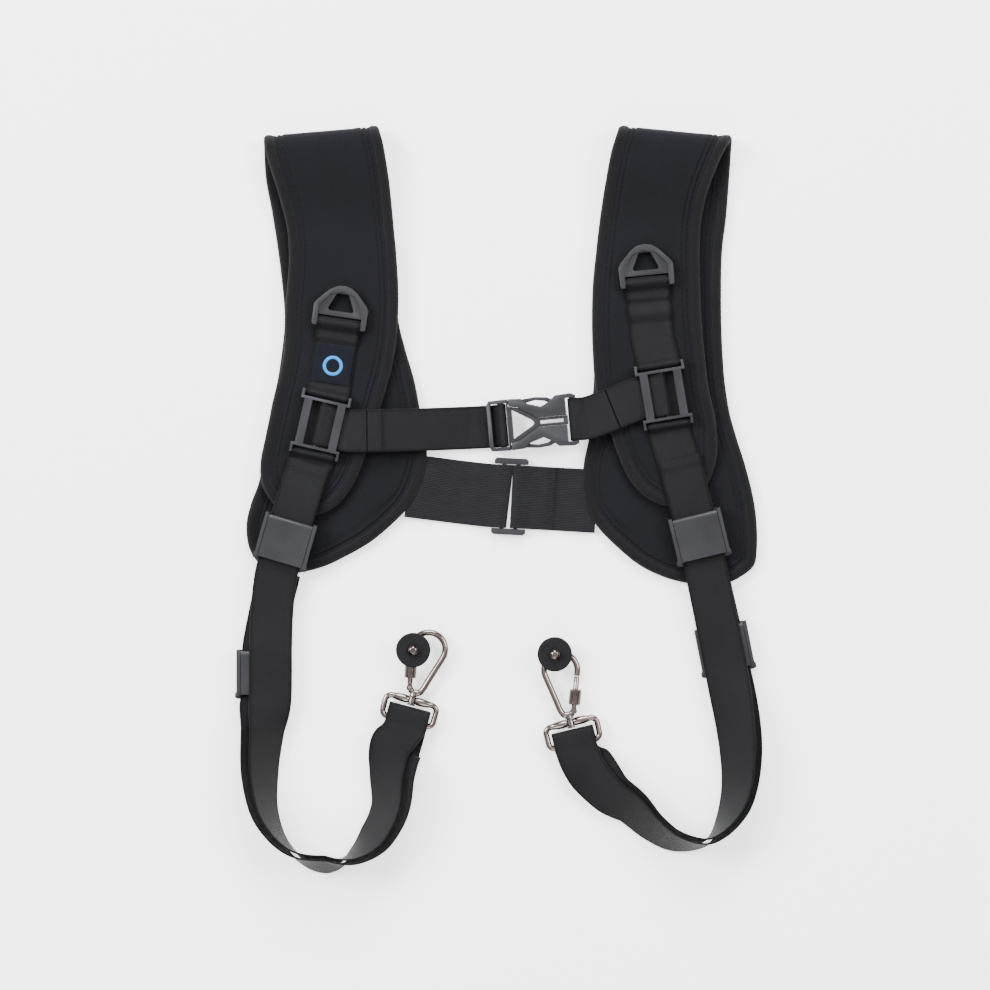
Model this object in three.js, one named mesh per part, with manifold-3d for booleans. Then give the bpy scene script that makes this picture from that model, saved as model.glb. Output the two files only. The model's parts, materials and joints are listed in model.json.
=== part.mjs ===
// Dual camera harness lying flat on its back leaves, seen from above as it is worn from the front.
// Millimetres. +X is the picture's right, +Y its top, +Z up from the surface that it lies on.
import * as THREE from 'three';
import { mergeVertices } from 'three/addons/utils/BufferGeometryUtils.js';
import Module from 'manifold-3d';

const wasm = await Module();
wasm.setup();

// Driving dimensions
const CLEARANCE = 0.3;
const PADS_APART = 248;
const FOLD_TOP = 258;
const PAD_WIDTH = 78;
const FRONT_LEAF_LENGTH = 271.6;
const BACK_LEAF_LENGTH = 311.5;
const PANEL_THICKNESS = 5.2;
const FLANGE_THICKNESS = 3.6;
const FLANGE_SHARE = 0.8;
const BINDING_WIDTH = 6;
const BINDING_HEIGHT = 6;
const BINDING_STEP = 15;
const BINDING_BEND = 0.28;
const PANEL_GAP = 0.8;
const FOLD_RADIUS = 7;
const FOLD_RUN = 62;
const FOLD_SLOPE = 0.09;

const STRAP_WIDTH = 30;
const STRAP_THICKNESS = 1.3;
const RIBBON_STEP = 12;
const ELASTIC_WIDTH = 44.5;
const ELASTIC_THICKNESS = 1.4;
const STRAP_DROP = 235;
const STRAP_SPREAD = 85;
const STRAP_STEP = 0.5;
const STRAP_LEAD = [7, 3.5, 0];
const LEFT_LOCK = { x: -148.9, y: -29.1 };
const RIGHT_LOCK = { x: 140.2, y: -25.9 };

const RING_BAR_RADIUS = 2.1;
const D_RING_RIM = 3.7;
const D_RING_HEIGHT = 26.3;
const D_RING_THICKNESS = 4.2;
const D_RING_PLATE = 2.4;
const D_RING_LEG_BELOW = 3.2;
const LOOP_TUCK = 11;

const PATCH_SIZE = 27;
const PATCH_THICKNESS = 1;
const PATCH_FROM_RING = 28.8;

const LADDER_WIDTH = 29.4;
const LADDER_LENGTH = 35.4;
const LADDER_WINDOW_WIDTH = 18;
const LADDER_WINDOW_LENGTH = 31.4;
const LADDER_RAIL_THICKNESS = 2.6;
const LADDER_PRONG = 1.8;
const LADDER_ROLL_RADIUS = 1.4;
const LADDER_POST_RADIUS = 1.1;
const LADDER_POST_SHIFT = 0.5;
const LEFT_LADDER_AT = 72;
const RIGHT_LADDER_AT = 80;

const LOCK_LENGTH = 32;
const LOCK_PLATE = 1.6;
const LOCK_FLANGE = 2.4;
const LOCK_WING = 2.6;
const LOCK_GAP = 0.55;
const LOCK_SIDE_GAP = 1.2;
const LOCK_PIN_RADIUS = 1.2;
const LOCK_HUB_RADIUS = 2.1;
const LEVER_THICKNESS = 1.9;

const BUCKLE_LENGTH = 62.6;
const BUCKLE_WIDTH = 36.6;
const BUCKLE_THICKNESS = 7;
const BUCKLE_BAR_RADIUS = 2.1;
const BUCKLE_AT = { x: 23.8, y: 53, level: 10.6, turn: 5, tilt: 5.5 };

const SLIDER_AT = { x: 7.9, y: 1.4, turn: -3 };
const SLIDER_WIDTH = 24;
const SLIDER_RAIL = 4.4;
const SLIDER_THICKNESS = 3;
const SLIDER_BAR_RADIUS = 1.5;
const SLIDER_WEDGE = 3.4;
const LEFT_ELASTIC_END = { x: -68, y: 9.6 };
const RIGHT_ELASTIC_END = { x: 78, y: -2.6 };
const LEFT_ELASTIC_RETURN = 18;
const RIGHT_ELASTIC_RETURN = 26;

const SWIVEL_WIDTH = 41;
const SWIVEL_HEIGHT = 19.5;
const SWIVEL_WIRE_RADIUS = 2.1;
const SWIVEL_BARREL_RADIUS = 3.2;
const SWIVEL_BARREL_REACH = 2.3;
const SWIVEL_LEVEL = 6;
const POST_RADIUS = 1.7;
const POST_HEAD_RADIUS = 3;
const POST_HEAD = 1.2;

const HOOK_WIRE_RADIUS = 2.3;
const HOOK_ARC_RADIUS = 11.7;
const HOOK_ARC_SIDE = 1.8;
const HOOK_ARC_HEIGHT = 37.5;
const HOOK_FOOT = 5.6;
const HOOK_HINGE_SIDE = 4;
const HOOK_HINGE_HEIGHT = 8;
const GATE_LEAN = 12;
const SPINE_LEAN = 18;
const NOSE_STRAIGHT = 3;
const GATE_RADIUS = 2;
const TONGUE_THICKNESS = 1.6;
const SLEEVE_LENGTH = 11;
const SLEEVE_RADIUS = 4.1;
const SLEEVE_BORE = 2.75;

const CHEST_TAB = 33;
const CHEST_EDGE = 40;
const CHEST_FLOOR = 1.2;
const RIGHT_CHEST_DROP = 9.5;

const DISC_RADIUS = 12.1;
const DISC_THICKNESS = 4;
const SCREW_RADIUS = 3.1;
const SCREW_ABOVE_DISC = 5;
const SCREW_PLATE_RADIUS = 8.5;
const SCREW_PLATE = 1.4;
const EYE_RADIUS = 5;
const EYE_WALL = 1.8;
const EYE_WIDTH = 2.2;

// Each leaf's outline: down is a share of the leaf's length from the fold, left and right are
// shares of the pad's width from the middle of the fold.
const LEFT_FRONT_LEAF = [
  { down: 0.0, left: -0.52, right: 0.515 },
  { down: 0.06, left: -0.49, right: 0.56 },
  { down: 0.15, left: -0.4, right: 0.61 },
  { down: 0.25, left: -0.315, right: 0.645 },
  { down: 0.34, left: -0.295, right: 0.675 },
  { down: 0.45, left: -0.325, right: 0.69 },
  { down: 0.58, left: -0.345, right: 0.655 },
  { down: 0.7, left: -0.435, right: 0.55 },
  { down: 0.8, left: -0.51, right: 0.435 },
  { down: 0.86, left: -0.55, right: 0.37 },
  { down: 0.915, left: -0.54, right: 0.29 },
  { down: 0.96, left: -0.455, right: 0.175 },
  { down: 0.985, left: -0.355, right: 0.065 },
  { down: 1.0, left: -0.16, right: -0.16 },
];
const LEFT_BACK_LEAF = [
  { down: 0.045, left: -0.52, right: 0.543 },
  { down: 0.106, left: -0.504, right: 0.579 },
  { down: 0.182, left: -0.45, right: 0.606 },
  { down: 0.317, left: -0.373, right: 0.651 },
  { down: 0.429, left: -0.337, right: 0.687 },
  { down: 0.503, left: -0.363, right: 0.759 },
  { down: 0.564, left: -0.4, right: 0.83 },
  { down: 0.622, left: -0.453, right: 0.875 },
  { down: 0.694, left: -0.507, right: 0.929 },
  { down: 0.733, left: -0.534, right: 0.945 },
  { down: 0.791, left: -0.565, right: 0.898 },
  { down: 0.845, left: -0.642, right: 0.794 },
  { down: 0.888, left: -0.68, right: 0.637 },
  { down: 0.93, left: -0.67, right: 0.435 },
  { down: 0.96, left: -0.624, right: 0.229 },
  { down: 0.987, left: -0.516, right: -0.007 },
  { down: 1.0, left: -0.283, right: -0.283 },
];
const RIGHT_FRONT_LEAF = [
  { down: 0.0, left: -0.516, right: 0.503 },
  { down: 0.075, left: -0.583, right: 0.39 },
  { down: 0.157, left: -0.637, right: 0.287 },
  { down: 0.24, left: -0.682, right: 0.229 },
  { down: 0.325, left: -0.718, right: 0.215 },
  { down: 0.402, left: -0.745, right: 0.22 },
  { down: 0.492, left: -0.754, right: 0.233 },
  { down: 0.582, left: -0.745, right: 0.26 },
  { down: 0.673, left: -0.718, right: 0.3 },
  { down: 0.737, left: -0.655, right: 0.35 },
  { down: 0.776, left: -0.595, right: 0.368 },
  { down: 0.84, left: -0.52, right: 0.372 },
  { down: 0.905, left: -0.413, right: 0.305 },
  { down: 0.948, left: -0.278, right: 0.189 },
  { down: 0.974, left: -0.06, right: -0.06 },
];
const RIGHT_BACK_LEAF = [
  { down: 0.047, left: -0.55, right: 0.5 },
  { down: 0.103, left: -0.6, right: 0.485 },
  { down: 0.193, left: -0.655, right: 0.458 },
  { down: 0.272, left: -0.7, right: 0.422 },
  { down: 0.384, left: -0.727, right: 0.413 },
  { down: 0.485, left: -0.727, right: 0.422 },
  { down: 0.575, left: -0.736, right: 0.449 },
  { down: 0.643, left: -0.76, right: 0.494 },
  { down: 0.699, left: -0.781, right: 0.557 },
  { down: 0.755, left: -0.826, right: 0.628 },
  { down: 0.811, left: -0.835, right: 0.687 },
  { down: 0.856, left: -0.8, right: 0.72 },
  { down: 0.901, left: -0.682, right: 0.736 },
  { down: 0.942, left: -0.52, right: 0.736 },
  { down: 0.982, left: -0.323, right: 0.709 },
  { down: 1.009, left: -0.099, right: 0.583 },
  { down: 1.022, left: 0.1, right: 0.467 },
  { down: 1.027, left: 0.287, right: 0.287 },
];

// The line down the middle of each front leaf that its webbing, ring, slider and lock follow:
// across is a share of the pad's width from the middle of the fold, down a share of the front leaf.
const LEFT_FRONT_LINE = [
  { across: 0.157, down: 0.499 },
  { across: 0.103, down: 0.603 },
  { across: 0.067, down: 0.666 },
  { across: 0.03, down: 0.713 },
  { across: -0.05, down: 0.813 },
  { across: -0.087, down: 0.86 },
  { across: -0.167, down: 0.928 },
  { across: -0.255, down: 0.992 },
  { across: -0.319, down: 1.057 },
];
const RIGHT_FRONT_LINE = [
  { across: -0.26, down: 0.392 },
  { across: -0.234, down: 0.47 },
  { across: -0.21, down: 0.536 },
  { across: -0.169, down: 0.587 },
  { across: -0.141, down: 0.634 },
  { across: -0.082, down: 0.735 },
  { across: -0.054, down: 0.782 },
  { across: 0.027, down: 0.855 },
  { across: 0.127, down: 0.935 },
  { across: 0.217, down: 1.044 },
];

// The camera straps' upper layer, from its free end down through the front lock, round the bend and
// up to the swivel ring. across is a share of the strap's spread from the front lock's middle,
// down a share of its drop, level a share of its width; turn in degrees lifts the bend's outer
// edge; apart and shift place the lower layer behind it, in shares of the strap's width.
const LEFT_STRAP = [
  { across: 0.193, down: -0.229, level: 0.483, turn: 0, apart: 0.21, shift: 0 },
  { across: 0.1, down: -0.119, level: 0.547, turn: 0, apart: 0.21, shift: 0 },
  { across: 0.0, down: 0.0, level: 0.463, turn: 0, apart: 0.25, shift: -0.03 },
  { across: -0.082, down: 0.104, level: 0.367, turn: 0, apart: 0.27, shift: -0.05 },
  { across: -0.119, down: 0.223, level: 0.3, turn: 0, apart: 0.22, shift: 0.06 },
  { across: -0.126, down: 0.32, level: 0.355, turn: 5.5, apart: 0.215, shift: 0.16 },
  { across: -0.13, down: 0.47, level: 0.375, turn: 6.5, apart: 0.215, shift: 0.18 },
  { across: -0.156, down: 0.566, level: 0.52, turn: 38, apart: 0.23, shift: 0.08 },
  { across: -0.177, down: 0.7, level: 0.555, turn: 52, apart: 0.22, shift: 0.05 },
  { across: -0.132, down: 0.819, level: 0.55, turn: 68, apart: 0.17, shift: 0.03 },
  { across: 0.041, down: 0.917, level: 0.52, turn: 90, apart: 0.12, shift: 0 },
  { across: 0.321, down: 0.959, level: 0.485, turn: 112, apart: 0.1, shift: 0 },
  { across: 0.552, down: 0.932, level: 0.53, turn: 78, apart: 0.13, shift: 0 },
  { across: 0.708, down: 0.879, level: 0.545, turn: 54, apart: 0.2, shift: 0.03 },
  { across: 0.82, down: 0.795, level: 0.55, turn: 48, apart: 0.23, shift: 0.05 },
  { across: 0.853, down: 0.685, level: 0.55, turn: 43, apart: 0.24, shift: 0.08 },
  { across: 0.909, down: 0.64, level: 0.44, turn: 27, apart: 0.22, shift: 0.1 },
  { across: 0.941, down: 0.602, level: 0.35, turn: 10, apart: 0.207, shift: 0.03 },
];
const RIGHT_STRAP = [
  { across: -0.165, down: -0.229, level: 0.483, turn: 0, apart: 0.21, shift: 0 },
  { across: -0.082, down: -0.106, level: 0.463, turn: 0, apart: 0.21, shift: 0 },
  { across: 0.0, down: 0.0, level: 0.377, turn: 0, apart: 0.21, shift: 0 },
  { across: 0.082, down: 0.141, level: 0.31, turn: 0, apart: 0.21, shift: -0.02 },
  { across: 0.156, down: 0.273, level: 0.305, turn: 0, apart: 0.22, shift: -0.05 },
  { across: 0.226, down: 0.402, level: 0.31, turn: 5, apart: 0.22, shift: -0.06 },
  { across: 0.293, down: 0.55, level: 0.455, turn: 25, apart: 0.23, shift: -0.05 },
  { across: 0.317, down: 0.639, level: 0.51, turn: 35, apart: 0.23, shift: -0.03 },
  { across: 0.313, down: 0.729, level: 0.53, turn: 46, apart: 0.2, shift: 0 },
  { across: 0.272, down: 0.797, level: 0.535, turn: 57, apart: 0.17, shift: 0 },
  { across: 0.165, down: 0.868, level: 0.535, turn: 78, apart: 0.13, shift: 0 },
  { across: 0.049, down: 0.904, level: 0.51, turn: 97, apart: 0.12, shift: 0 },
  { across: -0.189, down: 0.901, level: 0.47, turn: 116, apart: 0.12, shift: 0 },
  { across: -0.371, down: 0.862, level: 0.425, turn: 127, apart: 0.13, shift: 0 },
  { across: -0.543, down: 0.8, level: 0.335, turn: 142, apart: 0.17, shift: 0 },
  { across: -0.726, down: 0.751, level: 0.21, turn: 161, apart: 0.2, shift: 0.1 },
  { across: -0.885, down: 0.726, level: 0.155, turn: 171, apart: 0.204, shift: 0.08 },
  { across: -0.965, down: 0.692, level: 0.108, turn: 179, apart: 0.204, shift: 0.03 },
];
// Rows between which each camera strap's lower layer runs, and the row where its lock sits.
const STRAP_EXIT_ROW = 2.95;
const LEFT_REAR_LOCK_ROW = 5.5;
const RIGHT_REAR_LOCK_ROW = 4.5;

// Where the swivel rings, carabiners and rubber discs lie
const LEFT_SWIVEL = { x: -62.6, y: -148.8, turn: -15, lean: 0 };
const RIGHT_SWIVEL = { x: 52, y: -164.6, turn: 13.5, lean: -7 };
const LEFT_DISC_OFFSET = { side: -8.4, up: 34.4 };
const RIGHT_DISC_OFFSET = { side: 4.8, up: 49.2 };
const LEFT_EYE_ANGLE = 155;
const RIGHT_EYE_ANGLE = 108;
const LEFT_SLEEVE_AT = 12.3;
const RIGHT_SLEEVE_AT = 9.8;

// Materials
const finish = (color, roughness, metalness = 0) => (
  new THREE.MeshStandardMaterial({ color, roughness, metalness })
);
const NEOPRENE = finish(0x1e1e23, 0.85);
const BINDING = finish(0x232321, 0.9);
const WEBBING = finish(0x2a2a2d, 0.8);
const ELASTIC = finish(0x262628, 0.9);
const PLASTIC = finish(0x4f4f56, 0.45);
const PATCH = finish(0x16181f, 0.85);
const RUBBER = finish(0x202022, 0.7);
const GUNMETAL = finish(0x5a5457, 0.25, 1);

// Plain helpers
const radians = THREE.MathUtils.degToRad;
const UP = new THREE.Vector3(0, 0, 1);
const harness = new THREE.Group();

function addPiece(name, geometry, material, matrix = new THREE.Matrix4()) {
  const mesh = new THREE.Mesh(geometry, material);
  mesh.name = name;
  matrix.decompose(mesh.position, mesh.quaternion, mesh.scale);
  harness.add(mesh);
}

// A closed skin over rings of points. The triangles are turned round if they face inwards. A thin
// skin says for each span whether it runs back: its two faces are split along the same diagonals,
// and a layer that runs back over another along that layer's, so that they stay apart in a twist.
function loft(rings, closed = false, thin = null) {
  const count = rings[0].length;
  const position = rings.flat().flatMap((point) => [point.x, point.y, point.z]);
  const index = [];
  const spans = closed ? rings.length : rings.length - 1;
  for (let i = 0; i < spans; i += 1) {
    const here = i * count;
    const next = ((i + 1) % rings.length) * count;
    for (let j = 0; j < count; j += 1) {
      const k = (j + 1) % count;
      if (thin && (j >= count / 2) !== thin[i]) {
        index.push(here + j, here + k, next + j, here + k, next + k, next + j);
      } else {
        index.push(here + j, here + k, next + k, here + j, next + k, next + j);
      }
    }
  }
  if (!closed) {
    const end = (rings.length - 1) * count;
    for (let j = 1; j < count - 1; j += 1) {
      index.push(0, j + 1, j);
      index.push(end, end + j, end + j + 1);
    }
  }
  let volume = 0;
  const corner = (i) => new THREE.Vector3().fromArray(position, i * 3);
  for (let i = 0; i < index.length; i += 3) {
    volume += corner(index[i]).cross(corner(index[i + 1])).dot(corner(index[i + 2]));
  }
  if (volume < 0) index.reverse();
  const geometry = new THREE.BufferGeometry();
  geometry.setAttribute('position', new THREE.Float32BufferAttribute(position, 3));
  geometry.setIndex(index);
  return geometry;
}

// A section of the given size drawn at each frame: at, across and up.
function ringAt(frame, section) {
  return section.map(([a, b]) => (
    frame.at.clone().addScaledVector(frame.across, a).addScaledVector(frame.up, b)
  ));
}

function ribbon(frames, width, thickness) {
  const w = width / 2;
  const t = thickness / 2;
  const section = [[-w, -t], [w, -t], [w, t], [-w, t]];
  const back = frames.map((frame) => Boolean(frame.back));
  return loft(frames.map((frame) => ringAt(frame, section)), false, back);
}

function roundSection(radius, sides) {
  return Array.from({ length: sides }, (_, i) => {
    const angle = (i + 0.5) / sides * 2 * Math.PI;
    return [radius * Math.cos(angle), radius * Math.sin(angle)];
  });
}

// Booleans
function solidOf(geometry) {
  const bare = new THREE.BufferGeometry();
  bare.setAttribute('position', geometry.getAttribute('position').clone());
  if (geometry.index) bare.setIndex(geometry.index.clone());
  const merged = mergeVertices(bare, 1e-4);
  return new wasm.Manifold(new wasm.Mesh({
    numProp: 3,
    vertProperties: new Float32Array(merged.getAttribute('position').array),
    triVerts: new Uint32Array(merged.index.array),
  }));
}

function geometryOf(solid) {
  const mesh = solid.getMesh();
  const geometry = new THREE.BufferGeometry();
  geometry.setAttribute('position', new THREE.BufferAttribute(new Float32Array(mesh.vertProperties), 3));
  geometry.setIndex(new THREE.BufferAttribute(new Uint32Array(mesh.triVerts), 1));
  return geometry;
}

const join = (...geometries) => geometries.map(solidOf).reduce((all, next) => all.add(next));

function shaped(points, depth, ...holes) {
  const shape = new THREE.Shape(points.map(([x, y]) => new THREE.Vector2(x, y)));
  holes.forEach((hole) => shape.holes.push(new THREE.Path(hole.map(([x, y]) => new THREE.Vector2(x, y)))));
  const geometry = new THREE.ExtrudeGeometry(shape, { depth, bevelEnabled: false });
  return geometry.translate(0, 0, -depth / 2);
}

function box(x0, x1, y0, y1, z0, z1) {
  const geometry = new THREE.BoxGeometry(x1 - x0, y1 - y0, z1 - z0);
  return geometry.translate((x0 + x1) / 2, (y0 + y1) / 2, (z0 + z1) / 2);
}

// A round bar between two points.
function bar(from, to, radius, sides = 12) {
  const span = to.clone().sub(from);
  const geometry = new THREE.CylinderGeometry(radius, radius, span.length(), sides);
  const spin = new THREE.Quaternion().setFromUnitVectors(new THREE.Vector3(0, 1, 0), span.normalize());
  geometry.applyQuaternion(spin);
  const middle = from.clone().add(to).multiplyScalar(0.5);
  return geometry.translate(middle.x, middle.y, middle.z);
}

const at = (x, y, z = 0) => new THREE.Vector3(x, y, z);

function mirrored(points) {
  return [...points, ...points.slice().reverse().map(([x, y]) => [-x, y]).filter(([x]) => x !== 0)];
}

// Heights of the layers, from the surface up
const BACK_LEVEL = BINDING_HEIGHT / 2;
const FRONT_LEVEL = BACK_LEVEL + BINDING_HEIGHT + CLEARANCE;
const PANEL_TOP = FRONT_LEVEL + PANEL_THICKNESS / 2;
const WEBBING_LEVEL = PANEL_TOP + CLEARANCE + STRAP_THICKNESS / 2;
const LAYER_STEP = STRAP_THICKNESS + CLEARANCE;

// Pads
const PADS = {
  left: {
    x: -PADS_APART / 2, slope: FOLD_SLOPE, front: LEFT_FRONT_LEAF, back: LEFT_BACK_LEAF,
  },
  right: {
    x: PADS_APART / 2, slope: -FOLD_SLOPE, front: RIGHT_FRONT_LEAF, back: RIGHT_BACK_LEAF,
  },
};

// The pad's outline laid out flat: x across, y from the fold, the front leaf below it.
function padOutline(pad) {
  const place = (share, row, length) => new THREE.Vector3(share * PAD_WIDTH, row.down * length, 0);
  const points = [];
  pad.front.slice(0, -1).forEach((row) => points.push(place(row.left, row, -FRONT_LEAF_LENGTH)));
  points.push(place(pad.front.at(-1).left, pad.front.at(-1), -FRONT_LEAF_LENGTH));
  pad.front.slice(0, -1).reverse().forEach((row) => (
    points.push(place(row.right, row, -FRONT_LEAF_LENGTH))
  ));
  pad.back.slice(0, -1).forEach((row) => points.push(place(row.right, row, BACK_LEAF_LENGTH)));
  points.push(place(pad.back.at(-1).left, pad.back.at(-1), BACK_LEAF_LENGTH));
  pad.back.slice(0, -1).reverse().forEach((row) => (
    points.push(place(row.left, row, BACK_LEAF_LENGTH))
  ));
  return new THREE.CatmullRomCurve3(points, true, 'centripetal').getSpacedPoints(700).slice(0, -1);
}

function inset(points, distance) {
  return points.map((point, i) => {
    const before = points[(i + points.length - 2) % points.length];
    const after = points[(i + 2) % points.length];
    const along = after.clone().sub(before).normalize();
    return new THREE.Vector3(point.x - along.y * distance, point.y + along.x * distance, 0);
  });
}

// Where the flat outline is crossed at a distance from the fold: its two sides.
function sidesAt(points, y) {
  const crossings = [];
  points.forEach((point, i) => {
    const next = points[(i + 1) % points.length];
    if ((point.y - y) * (next.y - y) > 0 || point.y === next.y) return;
    const share = (y - point.y) / (next.y - point.y);
    crossings.push(point.x + share * (next.x - point.x));
  });
  return [Math.min(...crossings), Math.max(...crossings)];
}

// A point of the folded pad from its place on the flat pad and its height off the middle surface.
function padPoint(pad, a, b, height) {
  const quarter = Math.PI / 2 * FOLD_RADIUS;
  const run = Math.abs(b);
  const crest = FOLD_TOP - BINDING_HEIGHT / 2 - FOLD_RADIUS;
  const fade = Math.max(0, 1 - run / (0.45 * FRONT_LEAF_LENGTH));
  const lift = pad.slope * a * fade * fade * (3 - 2 * fade);
  if (run < quarter) {
    const angle = b / FOLD_RADIUS;
    const reach = FOLD_RADIUS + height;
    const y = crest + reach * Math.cos(angle) + lift;
    return at(pad.x + a, y, BACK_LEVEL + FOLD_RADIUS - reach * Math.sin(angle));
  }
  const y = crest - (run - quarter) + lift;
  if (b > 0) return at(pad.x + a, y, BACK_LEVEL - height);
  const share = Math.min(1, (run - quarter) / FOLD_RUN);
  const ease = share * share * (3 - 2 * share);
  const top = BACK_LEVEL + 2 * FOLD_RADIUS;
  return at(pad.x + a, y, top + (FRONT_LEVEL - top) * ease + height);
}

function padStations(lowest, highest) {
  const quarter = Math.PI / 2 * FOLD_RADIUS;
  const stations = [];
  const rounding = 42;
  const tipSteps = 6;
  for (let i = 0; i < tipSteps; i += 1) {
    stations.push(lowest + rounding * (1 - Math.cos(i / tipSteps * Math.PI / 2)));
  }
  const frontSteps = 9;
  for (let i = 0; i < frontSteps; i += 1) {
    stations.push(lowest + rounding + (-quarter - lowest - rounding) * i / frontSteps);
  }
  const foldSteps = 6;
  for (let i = 0; i < foldSteps; i += 1) stations.push(quarter * (2 * i / foldSteps - 1));
  const backSteps = 11;
  for (let i = 0; i < backSteps; i += 1) {
    stations.push(quarter + (highest - rounding - quarter) * i / backSteps);
  }
  for (let i = tipSteps; i >= 0; i -= 1) {
    stations.push(highest - rounding * (1 - Math.cos(i / tipSteps * Math.PI / 2)));
  }
  return stations;
}

function padPanel(pad) {
  const edge = inset(padOutline(pad), BINDING_WIDTH + PANEL_GAP);
  const heights = edge.map((point) => point.y);
  const end = 0.6;
  const stations = padStations(Math.min(...heights) + end, Math.max(...heights) - end);
  const thick = PANEL_THICKNESS / 2;
  const thin = FLANGE_THICKNESS / 2;
  const section = [
    [-1, -thin], [-FLANGE_SHARE, -thick], [FLANGE_SHARE, -thick], [1, -thin],
    [1, thin], [FLANGE_SHARE, thick], [-FLANGE_SHARE, thick], [-1, thin],
  ];
  return loft(stations.map((b) => {
    const [left, right] = sidesAt(edge, b);
    return section.map(([share, height]) => (
      padPoint(pad, (left + right) / 2 + share * (right - left) / 2, b, height)
    ));
  }));
}

function padBinding(pad) {
  const line = inset(padOutline(pad), BINDING_WIDTH / 2);
  const chosen = [];
  let travelled = 0;
  let turned = 0;
  line.forEach((point, i) => {
    const before = line[(i + line.length - 1) % line.length];
    const after = line[(i + 1) % line.length];
    const coming = point.clone().sub(before);
    travelled += coming.length();
    turned += coming.angleTo(after.clone().sub(point));
    const step = Math.abs(point.y) < 2.2 * FOLD_RADIUS ? 4.2 : BINDING_STEP;
    if (travelled < step && turned < BINDING_BEND) return;
    travelled = 0;
    turned = 0;
    chosen.push(point);
  });
  const section = [[1, 0], [0.5, 1], [-0.5, 1], [-1, 0], [-0.5, -1], [0.5, -1]]
    .map(([a, b]) => [a * BINDING_WIDTH / 2, b * BINDING_HEIGHT / 2]);
  const frames = chosen.map((point, i) => {
    const before = chosen[(i + chosen.length - 1) % chosen.length];
    const after = chosen[(i + 1) % chosen.length];
    const here = padPoint(pad, point.x, point.y, 0);
    const along = padPoint(pad, after.x, after.y, 0).sub(padPoint(pad, before.x, before.y, 0));
    const up = padPoint(pad, point.x, point.y, 1).sub(here).normalize();
    return { at: here, across: along.normalize().cross(up).normalize(), up };
  });
  return loft(frames.map((frame) => ringAt(frame, section)), true);
}

Object.entries(PADS).forEach(([side, pad]) => {
  addPiece(`${side}_pad`, padPanel(pad), NEOPRENE);
  addPiece(`${side}_pad_binding`, padBinding(pad), BINDING);
});

// Webbing that runs along a line seen from above and rises and falls as a side view says
function planLine(points) {
  const curve = new THREE.CatmullRomCurve3(points, false, 'centripetal');
  const length = curve.getLength();
  return (distance) => {
    const share = THREE.MathUtils.clamp(distance / length, 0, 1);
    const along = curve.getTangentAt(share).setZ(0).normalize();
    const here = curve.getPointAt(share).setZ(0);
    here.addScaledVector(along, distance - share * length);
    return { here, along };
  };
}

function sideRibbon(line, corners, width, thickness) {
  const side = corners.slice(0, 1);
  corners.slice(1).forEach((corner) => {
    const from = side.at(-1);
    const steps = Math.ceil(from.distanceTo(corner) / RIBBON_STEP);
    for (let i = 1; i <= steps; i += 1) side.push(from.clone().lerp(corner, i / steps));
  });
  const frames = side.map((point, i) => {
    const before = side[Math.max(0, i - 1)];
    const after = side[Math.min(side.length - 1, i + 1)];
    const slope = after.clone().sub(before).normalize();
    const { here, along } = line(point.x);
    const up = along.clone().multiplyScalar(-slope.y).addScaledVector(UP, slope.x);
    const across = along.clone().cross(UP).normalize();
    return { at: here.setZ(point.y), across, up, back: slope.x < 0 };
  });
  return ribbon(frames, width, thickness);
}

function frontLinePoints(pad, rows) {
  return rows.map((row) => (
    at(pad.x + row.across * PAD_WIDTH, FOLD_TOP - row.down * FRONT_LEAF_LENGTH, 0)
  ));
}
const FRONT_LINES = {
  left: planLine(frontLinePoints(PADS.left, LEFT_FRONT_LINE)),
  right: planLine(frontLinePoints(PADS.right, RIGHT_FRONT_LINE)),
};

const LOOP_RADIUS = RING_BAR_RADIUS + CLEARANCE + STRAP_THICKNESS / 2;
const RING_LEVEL = WEBBING_LEVEL + LOOP_RADIUS;
const ROLL_RADIUS = LADDER_ROLL_RADIUS + CLEARANCE + STRAP_THICKNESS / 2;
const ROLL_LEVEL = WEBBING_LEVEL + ROLL_RADIUS;
const ROLL_FROM_MIDDLE = LADDER_LENGTH / 2 + 1.6 * CLEARANCE + STRAP_THICKNESS / 2 + ROLL_RADIUS;

const sidePoint = (x, y) => new THREE.Vector2(x, y);

function arcPoints(x, y, radius, from, to, steps) {
  return Array.from({ length: steps + 1 }, (_, i) => {
    const angle = radians(from + (to - from) * i / steps);
    return new THREE.Vector2(x + radius * Math.cos(angle), y + radius * Math.sin(angle));
  });
}

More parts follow.
